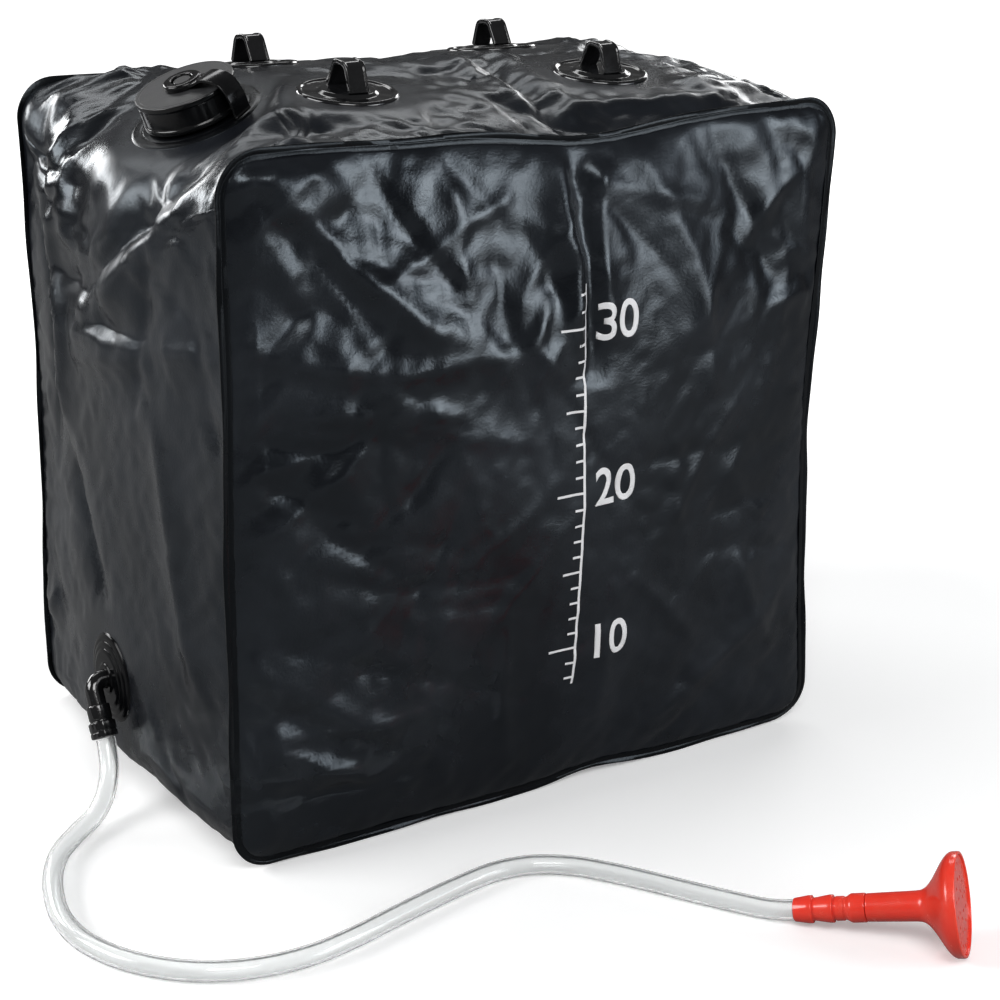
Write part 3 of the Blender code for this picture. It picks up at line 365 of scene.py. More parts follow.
def chance_creases(grid, closed, count, seed):
    """Short creases at random, more where the weights say so: bent lines over the grid, 35 to 130
    mm long, in ridges and valleys of up to 2.6 mm, the longer the higher, and a quarter higher
    where they crowd."""
    rng = np.random.default_rng(seed)
    rows, columns = grid.shape[:2]
    weights = crumple_weights(grid).ravel()
    starts = rng.choice(len(weights), count, p=weights / weights.sum())
    t = np.linspace(-0.5, 0.5, 6)
    made = []
    for start in starts:
        length = rng.uniform(*crumple_length)
        turn = rng.normal(rng.choice(crumple_turns) * np.pi / 2, turn_spread)
        ahead = length / grid_cell * t
        aside = rng.normal(0, bend_spread) * length / grid_cell * t**2
        row = start // columns + ahead * np.sin(turn) + aside * np.cos(turn)
        column = start % columns + ahead * np.cos(turn) - aside * np.sin(turn)
        row, column = np.round(row).astype(int), np.round(column).astype(int)
        column = column % columns if closed else np.clip(column, 1, columns - 2)
        line = grid[np.clip(row, 1, rows - 2), column]
        keep = np.r_[True, np.diff(lengths_along(line)) > closest]
        if keep.sum() < 3:
            continue
        height = rng.choice([-1.0, 1.0]) * rng.uniform(0.5, 1.0) * crumple_steepness * length
        height *= 1 + crowded_share * (weights[start] > crowded)
        made.append((height, rng.uniform(*crumple_half_width), line[keep] * 1000))
    return made


film_cells, film_rows = 118, 84
crumples = [
    chance_creases(panel_points(film_cells, True), False, 210, 3),
    chance_creases(gusset_points(film_cells, film_rows), True, 230, 4),
    chance_creases(panel_points(film_cells, False), False, 70, 5),
]
fold_share = 1.25
weld_fade, ground_fade, rim_fade = 0.06, 0.03, 0.03


def cut_film(cells, rows):
    """The whole film at one fineness, as grids: front panel, gusset and back panel.

    Each is pushed along its normal by the creases, less so next to a weld and near the ground,
    and the gusset is then pressed flat on the pads.
    """
    made = []
    for grid, way, closed, chance in (
        (panel_points(cells, True), -1, False, crumples[0]),
        (gusset_points(cells, rows), 1, True, crumples[1]),
        (panel_points(cells, False), 1, False, crumples[2]),
    ):
        if closed:
            free = np.clip((1 - np.abs(np.linspace(-1, 1, rows + 1)))[:, None] / weld_fade, 0, 1)
            free = free * np.clip(grid[..., 2] / ground_fade, 0, 1)
        else:
            u = np.minimum(np.arange(cells + 1), cells - np.arange(cells + 1)) / cells
            free = np.clip(np.minimum(u[:, None], u[None]) / rim_fade, 0, 1)
        height = fold_share * crease_heights(grid, creases) + crease_heights(grid, chance)
        pushed = grid + way * grid_normals(grid, closed) * (height * free)[..., None]
        made.append(pressed_flat(pushed) if closed else pushed)
    return made


def quads_of(number, turned=False):
    """Quads over a grid of point numbers, with their corners the other way round if turned."""
    corners = [number[:-1, :-1], number[:-1, 1:], number[1:, 1:], number[1:, :-1]]
    return np.stack([c.ravel() for c in (corners[::-1] if turned else corners)], axis=1)


def joined_grid(points, close_rows=False, close_columns=False, turned=False):
    """Quads over a grid of points, wrapped round in one or both directions."""
    number = np.arange(points[..., 0].size).reshape(points.shape[:2])
    if close_rows:
        number = np.vstack([number, number[:1]])
    if close_columns:
        number = np.hstack([number, number[:, :1]])
    return quads_of(number, turned)


def film_faces(cells, rows):
    """Quads of the closed film over one list of points, with the welds shared, and the numbers
    that the front panel's, the gusset's and the back panel's grid points have in that list."""
    side = cells + 1
    front = np.arange(side * side).reshape(side, side)
    back = front + side * side
    rim = np.concatenate([front[0, :-1], front[:-1, -1], front[-1, :0:-1], front[:0:-1, 0]])
    inner = np.arange((rows - 1) * 4 * cells).reshape(rows - 1, 4 * cells) + 2 * side * side
    gusset = np.vstack([rim[None], inner, rim[None] + side * side])
    wrapped = np.hstack([gusset, gusset[:, :1]])
    faces = np.vstack([quads_of(front, True), quads_of(wrapped, True), quads_of(back)])
    return faces, (front, gusset, back)


def in_scene(name, data):
    """A new object of the scene with this mesh, curve, lamp or camera."""
    made = bpy.data.objects.new(name, data)
    bpy.context.scene.collection.objects.link(made)
    return made


def new_piece(name, points, faces, smooth=True):
    """A mesh object from an array of points and an array or list of faces."""
    mesh = bpy.data.meshes.new(name)
    mesh.from_pydata(np.asarray(points).reshape(-1, 3), [], [list(f) for f in faces])
    mesh.validate()
    if smooth:
        mesh.shade_smooth()
    return in_scene(name, mesh)


cloth_numbers = {
    "quality": 6, "mass": 0.25, "air_damping": 2, "tension_stiffness": 40,
    "compression_stiffness": 40, "shear_stiffness": 20, "bending_stiffness": 6,
    "shrink_min": -0.018, "use_pressure": True, "uniform_pressure_force": 2.0,
    "vertex_group_mass": "held",
}
on_ground, start_rough, barely_held = 0.002, 0.0006, 0.02


def let_film_settle(cells, rows, frames=24):
    """Blender's cloth on a coarse copy of the film, which is cut 1.8% too large and blown up a
    little: it buckles as vinyl does. The welds, pads and base are held. It returns how far each
    point of the three grids has moved."""
    grids = cut_film(cells, rows)
    faces, numbers = film_faces(cells, rows)
    points = np.zeros((numbers[2].max() + 1 + numbers[1][1:-1].size, 3))
    for grid, number in zip(grids, numbers):
        points[number] = grid
    points[numbers[1]] = grids[1]
    held = np.zeros(len(points))
    held[numbers[1][[0, -1]].ravel()] = 1
    held = np.maximum(held, np.clip(pad_pull(points).max(0) * 1.6 - 0.3, 0, 1))
    held[points[:, 2] < on_ground] = 1
    piece = new_piece("film_settling", points, faces)
    rng = np.random.default_rng(7)
    rough = points + rng.normal(0, start_rough, points.shape) * (1 - held)[:, None]
    piece.data.vertices.foreach_set("co", rough.ravel())
    group = piece.vertex_groups.new(name="held")
    for number in np.flatnonzero(held > barely_held):
        group.add([int(number)], float(held[number]), "REPLACE")
    cloth = piece.modifiers.new("cloth", "CLOTH")
    for setting, value in cloth_numbers.items():
        setattr(cloth.settings, setting, value)
    cloth.settings.effector_weights.gravity = 0
    cloth.collision_settings.use_collision = False
    for number in range(1, frames + 1):
        bpy.context.scene.frame_set(number)
    graph = bpy.context.evaluated_depsgraph_get()
    mesh = piece.evaluated_get(graph).to_mesh()
    settled = np.zeros(len(points) * 3)
    mesh.vertices.foreach_get("co", settled)
    moved = settled.reshape(-1, 3) - points
    bpy.data.objects.remove(piece, do_unlink=True)
    bpy.context.scene.frame_set(1)
    return [moved[number] for number in numbers]


def finer(count_in, count_out, round_about):
    """A matrix that takes count_in values to count_out places between them, on Catmull-Rom cubics."""
    last = count_in if round_about else count_in - 1
    at = np.arange(count_out) * last / (count_out if round_about else count_out - 1)
    base = np.minimum(np.floor(at).astype(int), last - 1)
    t = at - base
    shares = (
        (-t + 2 * t**2 - t**3) / 2,
        (2 - 5 * t**2 + 3 * t**3) / 2,
        (t + 4 * t**2 - 3 * t**3) / 2,
        (-(t**2) + t**3) / 2,
    )
    matrix = np.zeros((count_out, count_in))
    for step, share in zip((-1, 0, 1, 2), shares):
        column = base + step
        column = column % count_in if round_about else np.clip(column, 0, count_in - 1)
        np.add.at(matrix, (np.arange(count_out), column), share)
    return matrix


def spread_out(values, passes, closed):
    """The values averaged with their grid neighbours, over and over: the broad part of a movement."""
    for _ in range(passes):
        padded = np.pad(values, ((1, 1), (0, 0), (0, 0)), mode="edge")
        wide = np.pad(values, ((0, 0), (1, 1), (0, 0)), mode="wrap" if closed else "edge")
        values = values / 2 + (padded[:-2] + padded[2:] + (wide[:, :-2] + wide[:, 2:])) / 8
    return values


settle_cells, settle_rows = 70, 48
most_moved, lowest_film = 0.0075, 0.0004
broad_passes, wrinkle_share, broad_share = 40, 0.9, 0.10
gusset_slack, top_slack, front_slack = 0.38, 0.5, 0.42
top_from, top_fade = 0.37, 0.02
film_grids = cut_film(film_cells, film_rows)
settled = let_film_settle(settle_cells, settle_rows)
for place, (grid, moved) in enumerate(zip(film_grids, settled)):
    closed = place == 1
    broad = spread_out(moved, broad_passes, closed)
    wrinkles = (moved - broad) * wrinkle_share + broad * broad_share
    down = finer(moved.shape[0], grid.shape[0], False)
    along = finer(moved.shape[1], grid.shape[1], closed)
    wrinkles = np.einsum("ri,ijk,cj->rck", down, wrinkles, along)
    slack = gusset_slack + top_slack * np.clip((grid[..., 2] - top_from) / top_fade, 0, 1)
    wrinkles *= np.where(place > 0, slack, front_slack)[..., None]
    size = np.linalg.norm(wrinkles, axis=-1, keepdims=True)
    wrinkles *= most_moved * np.tanh(size / most_moved) / np.maximum(size, 1e-9)
    grid += wrinkles
    grid[..., 2] = np.maximum(grid[..., 2], lowest_film)


# The finishes: black vinyl and moulded plastic. Each has a node group of its marks, a height and
# a haze over the piece, so that its colour, its shine and its surface vary a little.


def new_finish(name, colour, roughness, **numbers):
    """A material of one Principled shader, with the plain numbers on its own sockets."""
    finish = bpy.data.materials.new(name)
    finish.use_nodes = True
    shader = finish.node_tree.nodes["Principled BSDF"]
    shader.inputs["Base Color"].default_value = (*colour, 1)
    shader.inputs["Roughness"].default_value = roughness
    for socket, value in numbers.items():
        shader.inputs[socket.replace("_", " ")].default_value = value
    return finish, finish.node_tree, shader


def feed(tree, socket, value):
    """Sets a node's input to a number or colour, or links another node's output to it."""
    if isinstance(value, bpy.types.NodeSocket):
        tree.links.new(value, socket)
    else:
        socket.default_value = value


def add_node(tree, kind, settings=(), **inputs):
    """A node with its settings and its inputs."""
    node = tree.nodes.new(kind)
    for setting, value in dict(settings).items():
        setattr(node, setting, value)
    for socket, value in inputs.items():
        feed(tree, node.inputs[socket.replace("_", " ")], value)
    return node


def calc(tree, operation, *values):
    """The result of a math node."""
    node = add_node(tree, "ShaderNodeMath", {"operation": operation})
    for socket, value in zip(node.inputs, values):
        feed(tree, socket, value)
    return node.outputs[0]


def noise(tree, place, scale, detail, settings=(), **more):
    """The height of a noise texture at a place."""
    kind = "ShaderNodeTexNoise"
    node = add_node(tree, kind, settings, Vector=place, Scale=scale, Detail=detail, **more)
    return node.outputs["Fac"]


def stretched(tree, place, scale, turn):
    """The coordinates turned and drawn out, so that a noise runs long."""
    node = add_node(tree, "ShaderNodeMapping", Vector=place, Scale=scale, Rotation=turn)
    return node.outputs["Vector"]


def ramp_between(tree, value, low, high, out_low, out_high):
    """The value taken from low..high to out_low..out_high, and kept inside them."""
    numbers = {"From_Min": low, "From_Max": high, "To_Min": out_low, "To_Max": out_high}
    return add_node(tree, "ShaderNodeMapRange", {"clamp": True}, Value=value, **numbers).outputs["Result"]


def marks_group(name, amount):
    """A node group of marks: its own amount goes in, and a height and a haze come out."""
    tree = bpy.data.node_groups.new(name, "ShaderNodeTree")
    for socket, way in ((amount, "INPUT"), ("Height", "OUTPUT"), ("Haze", "OUTPUT")):
        tree.interface.new_socket(name=socket, in_out=way, socket_type="NodeSocketFloat")
    given = tree.nodes.new("NodeGroupInput").outputs[amount]
    out = tree.nodes.new("NodeGroupOutput").inputs
    return tree, given, out, tree.nodes.new("ShaderNodeTexCoord").outputs["Object"]


def vinyl_creases():
    """A node group of the fine creases of handled vinyl, and of its grain.

    Creases are the crests of two ridged noises, stretched in different directions so that they
    run long. Their height fades where a broad noise is low, so that some parts are smooth.
    """
    tree, amount, out, place = marks_group("vinyl_creases", "Amount")
    ridged = {"noise_type": "RIDGED_MULTIFRACTAL"}
    height = calc(tree, "MULTIPLY", noise(tree, place, 620.0, 2.0), 0.04)
    for turn, scale, weight in (((0.5, 0.2, 0.9), 13.0, 1.0), ((-0.7, 0.4, -0.8), 27.0, 0.5)):
        long = stretched(tree, place, (1.0, 0.38, 1.0), turn)
        ridge = noise(tree, long, scale, 1.5, ridged, Roughness=0.35, Lacunarity=2.3, Distortion=0.35)
        crest = ramp_between(tree, ridge, 0.55, 1.15, 0.0, weight)
        where = ramp_between(tree, noise(tree, place, scale / 2.2, 1.0), 0.42, 0.66, 0.0, 1.0)
        crease = calc(tree, "MULTIPLY", calc(tree, "MULTIPLY", crest, where), amount)
        height = calc(tree, "ADD", height, crease)
    tree.links.new(height, out["Height"])
    tree.links.new(noise(tree, place, 9.0, 5.0, Roughness=0.65), out["Haze"])
    return tree


def moulded_wear():
    """A node group for moulded plastic: a fine grain, a haze of handling and a few fine scratches."""
    tree, grain, out, place = marks_group("moulded_wear", "Grain")
    long = stretched(tree, place, (9.0, 1.0, 3.0), (0.3, 0.5, 0.8))
    scratch = ramp_between(tree, noise(tree, long, 160.0, 1.0), 0.68, 0.72, 0.0, 0.35)
    tree.links.new(calc(tree, "SUBTRACT", noise(tree, place, grain, 2.0), scratch), out["Height"])
    tree.links.new(noise(tree, place, 70.0, 6.0, Roughness=0.7), out["Haze"])
    return tree


creased, moulded = vinyl_creases(), moulded_wear()
moulded_grain = 0.0003
mix_from, mix_to, mix_result = 6, 7, 2


def worn_finish(name, marks, amount, colour, worn, rough, bump, haze=(0.35, 0.68), **numbers):
    """A finish with marks: their height is its bump, of a strength and a distance, and their haze
    takes the roughness from one value to the other and the colour to the worn one."""
    finish, tree, shader = new_finish(name, colour, rough[0], **numbers)
    wear = add_node(tree, "ShaderNodeGroup", {"node_tree": marks})
    wear.inputs[0].default_value = amount
    tree.links.new(ramp_between(tree, wear.outputs["Haze"], *haze, *rough), shader.inputs["Roughness"])
    if worn:
        share = ramp_between(tree, wear.outputs["Haze"], 0.45, 0.75, 0.0, 1.0)
        mix = add_node(tree, "ShaderNodeMix", {"data_type": "RGBA"}, Factor=share)
        feed(tree, mix.inputs[mix_from], (*colour, 1))
        feed(tree, mix.inputs[mix_to], (*worn, 1))
        tree.links.new(mix.outputs[mix_result], shader.inputs["Base Color"])
    if bump:
        lift = add_node(tree, "ShaderNodeBump", Strength=bump[0], Distance=bump[1])
        tree.links.new(wear.outputs["Height"], lift.inputs["Height"])
        tree.links.new(lift.outputs["Normal"], shader.inputs["Normal"])
    return finish


def vinyl_finish(name, amount, dark, light, gloss=0.5):
    """Black vinyl with a shine a little blue, hazier and paler where it has been rubbed."""
    shine = {"Specular_IOR_Level": gloss, "Specular_Tint": (0.80, 0.91, 1.0, 1)}
    rough, bump, haze = (0.20, 0.37), (0.85, 0.0030), (0.35, 0.70)
    return worn_finish(name, creased, amount, dark, light, rough, bump, haze, **shine)


def black_gloss(name, colour, worn, rough, gloss):
    """Black plastic from a polished mould."""
    bump = (0.10, moulded_grain)
    return worn_finish(name, moulded, 900.0, colour, worn, rough, bump, Specular_IOR_Level=gloss)


film_black = vinyl_finish("film_black", 1.0, (0.0036, 0.0042, 0.0060), (0.0130, 0.0148, 0.0190))
# The welds' lips and the filler's flange: vinyl darker and duller than the film, as painted shade of the
# gap between lip and wall.
weld_painted_shade = vinyl_finish("weld_painted_shade", 0.15, (0.0012, 0.0013, 0.0018), (0.003, 0.0032, 0.004), 0.26)
fitting_gloss = black_gloss(
    "fitting_gloss", (0.0035, 0.0036, 0.0040), (0.0070, 0.0072, 0.0078), (0.09, 0.20), 0.38
)
loop_gloss = black_gloss(
    "loop_gloss", (0.0050, 0.0052, 0.0058), (0.0100, 0.0102, 0.0110), (0.07, 0.16), 0.8
)
outlet_black = black_gloss(
    "outlet_black", (0.0015, 0.0016, 0.0020), (0.0030, 0.0032, 0.0038), (0.12, 0.24), 0.12
)
cap_satin = worn_finish(
    "cap_satin", moulded, 1500.0, (0.020, 0.0205, 0.022), (0.034, 0.0345, 0.037), (0.40, 0.52),
    (0.22, moulded_grain),
)
seal_rubber = worn_finish(
    "seal_rubber", moulded, 1200.0, (0.035, 0.035, 0.036), (0.06, 0.06, 0.06), (0.55, 0.75),
    (0.25, moulded_grain),
)


def dress(piece, finish, body, slot, *nodes):
    """The piece's finish, the body it rides on and the CAD nodes it stands for; the slot argument is
    not used. A piece that bends between two bodies rides on none."""
    piece.data.materials.append(finish)
    if body:
        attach(piece, body)
    if nodes:
        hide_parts(*nodes)
    return piece


def refinish(finish, *nodes):
    """A finish for CAD nodes that stay as they are."""
    for node in nodes:
        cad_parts[node].data.materials.clear()
        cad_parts[node].data.materials.append(finish)


def film_piece(name, grid, closed, turned, *nodes):
    """A grid of the film as a sheet with its thickness inwards, in place of its CAD nodes."""
    piece = new_piece(name, grid, joined_grid(grid, False, closed, turned))
    wall = piece.modifiers.new("film", "SOLIDIFY")
    wall.thickness, wall.offset = film_thickness, -1
    return dress(piece, film_black, "bag", "film", *nodes)


gusset_nodes = ["top_wall", "left_wall", "right_wall", "base_wall"]
front_panel = film_piece("bag_front_panel", film_grids[0], False, True, "front_panel")
film_piece("bag_gusset", film_grids[1], True, True, *gusset_nodes)
film_piece("bag_back_panel", film_grids[2], False, False, "back_panel")


# The welds: along each panel's edge the panel and the gusset are pressed together hot, which
# leaves a flat lip 4 mm wide that stands out from the bag and is drawn in a little between corners.
# The lip's vinyl is darker and duller than the film's: painted shade of the gap between lip and wall.

weld_width = 0.0042
weld_half_thickness = 0.00065
weld_root = -0.0016
weld_steps, weld_wave, weld_flutter = 160, 0.0005, 0.0011


def closed_piece(name, points, faces, sharp=35, smooth=True):
    """A closed piece with its doubled points merged, its faces turned to the outside, and its
    edges kept sharp above an angle in degrees."""
    piece = new_piece(name, points, faces, smooth)
    work = bmesh.new()
    work.from_mesh(piece.data)
    bmesh.ops.remove_doubles(work, verts=work.verts, dist=1e-7)
    bmesh.ops.recalc_face_normals(work, faces=work.faces)
    work.to_mesh(piece.data)
    work.free()
    if smooth:
        piece.data.set_sharp_from_angle(angle=math.radians(sharp))
    return piece


def weld_lip(name, front):
    """The lip's section, a flat bar with a pressed groove, carried round the weld line.

    A point is the line, plus its outward normal times the section's reach, and in Y the section's
    rise plus a flutter: a few sines of the length whose size grows to the free edge.
    """
    line = weld_line(even_places(weld_ring, weld_steps), front)
    along = unit(np.roll(line, -1, axis=0) - np.roll(line, 1, axis=0))
    outward = np.stack([-along[:, 1], along[:, 0]], axis=1)
    w, h = weld_width, weld_half_thickness
    bar = [(weld_root, -h), (0.90 * w, -h), (w, -0.5 * h), (w, 0.5 * h), (0.90 * w, h)]
    groove = [(0.46 * w, h), (0.38 * w, 0.62 * h), (0.22 * w, 0.62 * h), (0.14 * w, h), (weld_root, h)]
    reach, rise = np.array(bar + groove).T[..., None]
    turn = np.arange(len(line)) / len(line) * 2 * np.pi
    flutter = 0.45 * np.sin(9 * turn + 1) + 0.35 * np.sin(17 * turn + 2.2) + 0.25 * np.sin(31 * turn)
    free = np.clip(reach / weld_width, 0, 1) ** 1.5
    flat = line[None] + outward[None] * (reach + free * weld_wave * np.sin(13 * turn))[..., None]
    y = half_depth + rise + free * weld_flutter * flutter
    points = np.stack([flat[..., 0], -y if front else y, flat[..., 1]], axis=-1)
    lip = closed_piece(name, points, joined_grid(points, True, True), sharp=40)
    return dress(lip, weld_painted_shade, "bag", "film")


weld_lip("weld_lip_front", True)
weld_lip("weld_lip_back", False)


# The filler: a black screw cap on a threaded neck, whose soft flange is welded to the film on the
# sloping shoulder. A strap, moulded in one with a ring round the cap's boss, ties it to the flange.
# Profiles are in millimetres: radius, height over the film, and the easing of the corner.


def standing_on(place, axis):
    """The point and the three directions of a fitting: along, across and up its axis."""
    up = unit(np.array(axis, float))
    side = np.array([0, 1, 0.0]) if abs(up[0]) > 0.9 else np.cross(up, [1, 0, 0])
    along = unit(np.cross(side, up))
    return np.array(place, float), np.array([along, np.cross(up, along), up])


def eased(*corners, closed=True, steps=4):
    """A profile from its corners. Each becomes a quadratic curve that starts and ends its easing
    away from it, and an open profile keeps its two ends."""
    given = np.array(corners, float) / 1000
    points, easing = given[:, :2], given[:, 2]
    made = []
    for i, here in enumerate(points):
        if not closed and i in (0, len(points) - 1):
            made.append(here[None])
            continue
        back, ahead = points[i - 1] - here, points[(i + 1) % len(points)] - here
        reach = min(easing[i], np.linalg.norm(back) * 0.49, np.linalg.norm(ahead) * 0.49)
        start = here + back / np.linalg.norm(back) * reach
        end = here + ahead / np.linalg.norm(ahead) * reach
        t = np.linspace(0, 1, steps + 1)[:, None]
        curve = start * (1 - t) ** 2 + here * 2 * t * (1 - t) + end * t**2
        made.append(curve if reach > 0 else here[None])
    return np.vstack(made)


def turned_piece(name, profile, stand, closed=True, steps=72, ripple=None):
    """A profile of (radius, height) turned about a fitting's axis: P = place + radius cos t along
    + radius sin t across + height up. A ripple may change the radius and height with the turn."""
    place, (along, across, up) = stand
    turn = np.arange(steps) / steps * 2 * np.pi
    radius = np.repeat(profile[:, :1], steps, axis=1)
    height = np.repeat(profile[:, 1:], steps, axis=1)
    if ripple is not None:
        radius, height = ripple(radius, height, turn[None])
    round_about = (radius * np.cos(turn))[..., None] * along + (radius * np.sin(turn))[..., None] * across
    points = place + round_about + height[..., None] * up
    return closed_piece(name, points, joined_grid(points, closed, True))


filler = standing_on(*filler_stand)
flange_section = eased(
    (23, 1.8, 0.2), (29.8, 1.8, 0), (30.4, 1.5, 0.3), (31.2, 1.5, 0.3), (31.8, 1.8, 0.3),
    (35.2, 1.8, 0.9), (37, 0.9, 0.5), (37, 0.3, 0), (23, 0.3, 0),
)
filler_flange = turned_piece("filler_flange_soft", flange_section, filler)
# The flange takes the welds' darker vinyl, painted shade as on the lips.
dress(filler_flange, weld_painted_shade, "bag", "film", "filler_flange")

cap_section = eased(
    (0, 23, 0), (4.6, 23, 0), (5.5, 22.2, 0.6), (5.5, 20, 0.4), (25.2, 20, 0.6), (25.6, 19.8, 0.3),
    (26.2, 20, 0.3), (28, 19.9, 1.3), (28, 17.2, 0.6), (27.2, 16.6, 0.5), (27.2, 6.6, 0.6),
    (28, 5.8, 0.6), (28, 3.5, 0.6), (24.5, 3.5, 0.3), (24.5, 17.5, 0.4), (0, 17.5, 0),
    closed=False,
)
lug_low, lug_high, lug_from, lug_height = 0.0068, 0.0165, 0.0265, 0.0006


def cap_grip(radius, height, turn):
    """Four shallow lugs on the cap's side, where a hand turns it."""
    side = (height > lug_low) & (height < lug_high) & (radius > lug_from)
    lug = np.clip(np.cos(4 * turn + 0.6) * 12 - 11, 0, 1)
    return radius + np.where(side, lug_height * lug, 0), height


filler_cap = turned_piece(
    "filler_cap_moulded", cap_section, filler, closed=False, steps=144, ripple=cap_grip
)
dress(filler_cap, cap_satin, "cap", "cap", "filler_cap")
filler_cap.data.materials.append(fitting_gloss)
facing = np.zeros(3 * len(filler_cap.data.polygons))
filler_cap.data.polygons.foreach_get("normal", facing)
beside = facing.reshape(-1, 3) @ filler[1][2] < 0.8
filler_cap.data.polygons.foreach_set("material_index", beside.astype(np.int32))


def carried_bar(name, path, section, across):
    """A closed section of (out, wide) pairs carried along a line in one plane: at each point it is
    turned so that out is the line's normal and wide is the direction across the plane."""
    across = unit(across)
    normal = np.cross(across, unit(np.gradient(path, axis=0)))
    out, wide = section[:, 0], section[:, 1]
    points = path[:, None] + out[None, :, None] * normal[:, None] + wide[None, :, None] * across
    count = len(section)
    last = points.shape[0] * count - count
    ends = [list(range(count)), list(range(last, last + count))]
    return closed_piece(name, points, joined_grid(points, False, True).tolist() + ends)


def smooth_line(points, apart):
    """Points a given distance apart on the Catmull-Rom curve through the given ones."""
    known = np.array(points, float)
    padded = np.vstack([2 * known[0] - known[1], known, 2 * known[-1] - known[-2]])
    t = np.linspace(0, 1, 24, endpoint=False)[:, None]
    runs = []
    for a, b, c, d in zip(padded, padded[1:], padded[2:], padded[3:]):
        square, cube = 2 * a - 5 * b + 4 * c - d, 3 * (b - c) + d - a
        runs.append(b + (c - a) * t / 2 + square * t**2 / 2 + cube * t**3 / 2)
    fine = np.vstack([*runs, known[-1:]])
    along = lengths_along(fine)
    at = np.linspace(0, along[-1], max(2, round(along[-1] / apart)) + 1)
    return np.column_stack([np.interp(at, along, column) for column in fine.T])


strap_turn = math.radians(-65)
ring_section = eased(
    (5.8, 20.3, 0.4), (5.8, 23.8, 1), (10.8, 23.8, 1.6), (10.8, 20.3, 0.4),
)
strap_line = smooth_line(
    [
        (0.0083, 0.0221), (0.0124, 0.0229), (0.0194, 0.0252), (0.0280, 0.0236), (0.0329, 0.0184),
        (0.0345, 0.0115), (0.0345, 0.0045), (0.0355, 0.0029),
    ],
    0.0009,
)
bar_section = eased(
    (-0.8, -6.5, 0.4), (-0.8, 6.5, 0.4), (0.8, 6.5, 0.4), (0.8, -6.5, 0.4),
    steps=3,
)
place, (along, across, up) = filler
heading = along * math.cos(strap_turn) + across * math.sin(strap_turn)
strap_path = place + strap_line[:, :1] * heading + strap_line[:, 1:] * up
strap_ring = turned_piece("strap_ring_part", ring_section, filler, steps=48)
tether_strap = carried_bar("tether_strap_moulded", strap_path, bar_section, np.cross(heading, up))
moulding = bmesh.new()
for piece in (tether_strap, strap_ring):
    moulding.from_mesh(piece.data)
moulding.to_mesh(tether_strap.data)
moulding.free()
bpy.data.objects.remove(strap_ring, do_unlink=True)
tether_strap.data.shade_smooth()
tether_strap.data.set_sharp_from_angle(angle=math.radians(35))
dress(tether_strap, fitting_gloss, None, "fitting", "tether_strap")
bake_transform(tether_strap)
refinish(fitting_gloss, "filler_neck")
refinish(seal_rubber, "cap_gasket")


# Four carry loops: stiff black arches of flat bar, each standing on a round patch with a raised
# rim that is welded to the top of the bag.

loop_bar = eased(
    (-1.4, -6, 0.7), (-1.4, 6, 0.7), (1.4, 6, 0.7), (1.4, 5, 0.3), (0.9, 4.4, 0.4), (0.9, -4.4, 0.4),
    (1.4, -5, 0.3), (1.4, -6, 0.7),
    steps=3,
)
arch = eased(
    (-12.4, 0, 0), (-5.8, 14.1, 4), (5.8, 14.1, 4), (12.4, 0, 0),
    closed=False, steps=8,
)
rim_start, rim_width, rim_wave = 0.016, 0.012, 0.00035
patch_section = eased(
    (0, 3.3, 0), (15, 3.3, 0.6), (17.2, 1.5, 1), (24.4, 1.5, 0.6), (25.6, 2.5, 0.6), (27, 2.5, 0.6),
    (28, 1.3, 0.5), (28, 0.3, 0), (0, 0.3, 0),
    closed=False,
)


def patch_ripple(radius, height, turn):
    """The patch's soft rim, drawn in and out a little by the heat of the weld."""
    rim = np.clip((radius - rim_start) / rim_width, 0, 1)
    wave = np.sin(5 * turn + 0.7) * 0.5 + np.sin(9 * turn + 2) * 0.3 + np.sin(14 * turn) * 0.2
    lift = np.where(height > 0.001, 1, 0)
    return radius, height + lift * rim * (1 - rim) * 4 * rim_wave * wave


loop_foot = 0.0036
for corner, given in loop_stands.items():
    stand = standing_on(*given)
    patch = turned_piece(
        f"loop_patch_{corner}_soft", patch_section, stand, closed=False, ripple=patch_ripple
    )
    dress(patch, loop_gloss, "bag", "fitting", f"loop_patch_{corner}")
    place, (along, across, up) = stand
    path = place + arch[:, :1] * across + (arch[:, 1:] + loop_foot) * up
    loop = carried_bar(f"carry_loop_{corner}_moulded", path, loop_bar, along)
    dress(loop, loop_gloss, "bag", "fitting", f"carry_loop_{corner}")


# The outlet: a moulded fitting with three steps, clamped through the left wall by a back nut, and
# an elbow that turns in it on an O-ring. A collar with a ring and a nut holds the hose on its leg.

outlet = standing_on(*outlet_stand)
steps_section = eased(
    (5.7, 5.5, 0.3), (8.5, 5.5, 0.5), (9.5, 4.5, 0.4), (15.5, 4.5, 0.3), (17.5, 4, 0.4),
    (17.6, 3.5, 0.2), (19.5, 3.5, 0.3), (21.5, 3, 0.4), (21.6, 2.5, 0.2), (23.5, 2.5, 0.3),
    (25.5, 2, 0.4), (26.5, 0.9, 0.4), (26.5, 0.3, 0), (8.5, 0.3, 0), (8.5, -10.5, 0.3),
    (5.7, -10.5, 0.3),
)
outlet_flange = turned_piece("outlet_flange_moulded", steps_section, outlet, steps=96)
dress(outlet_flange, outlet_black, "bag", "fitting", "outlet_flange")


def carried_round(path, radius, sides=32):
    """Rings of points round a line: each ring lies square to the line, and its first direction is
    the last ring's, made square to the new tangent, so that the tube doesn't twist."""
    tangent = unit(np.gradient(path, axis=0))
    first = np.cross(tangent[0], [0.3, 0.5, 0.8])
    firsts = []
    for along in tangent:
        first = unit(first - along * (first @ along))
        firsts.append(first)
    firsts = np.array(firsts)[:, None]
    seconds = np.cross(tangent, firsts[:, 0])[:, None]
    turn = (np.arange(sides) / sides * 2 * np.pi)[None, :, None]
    return path[:, None] + radius * (np.cos(turn) * firsts + np.sin(turn) * seconds)


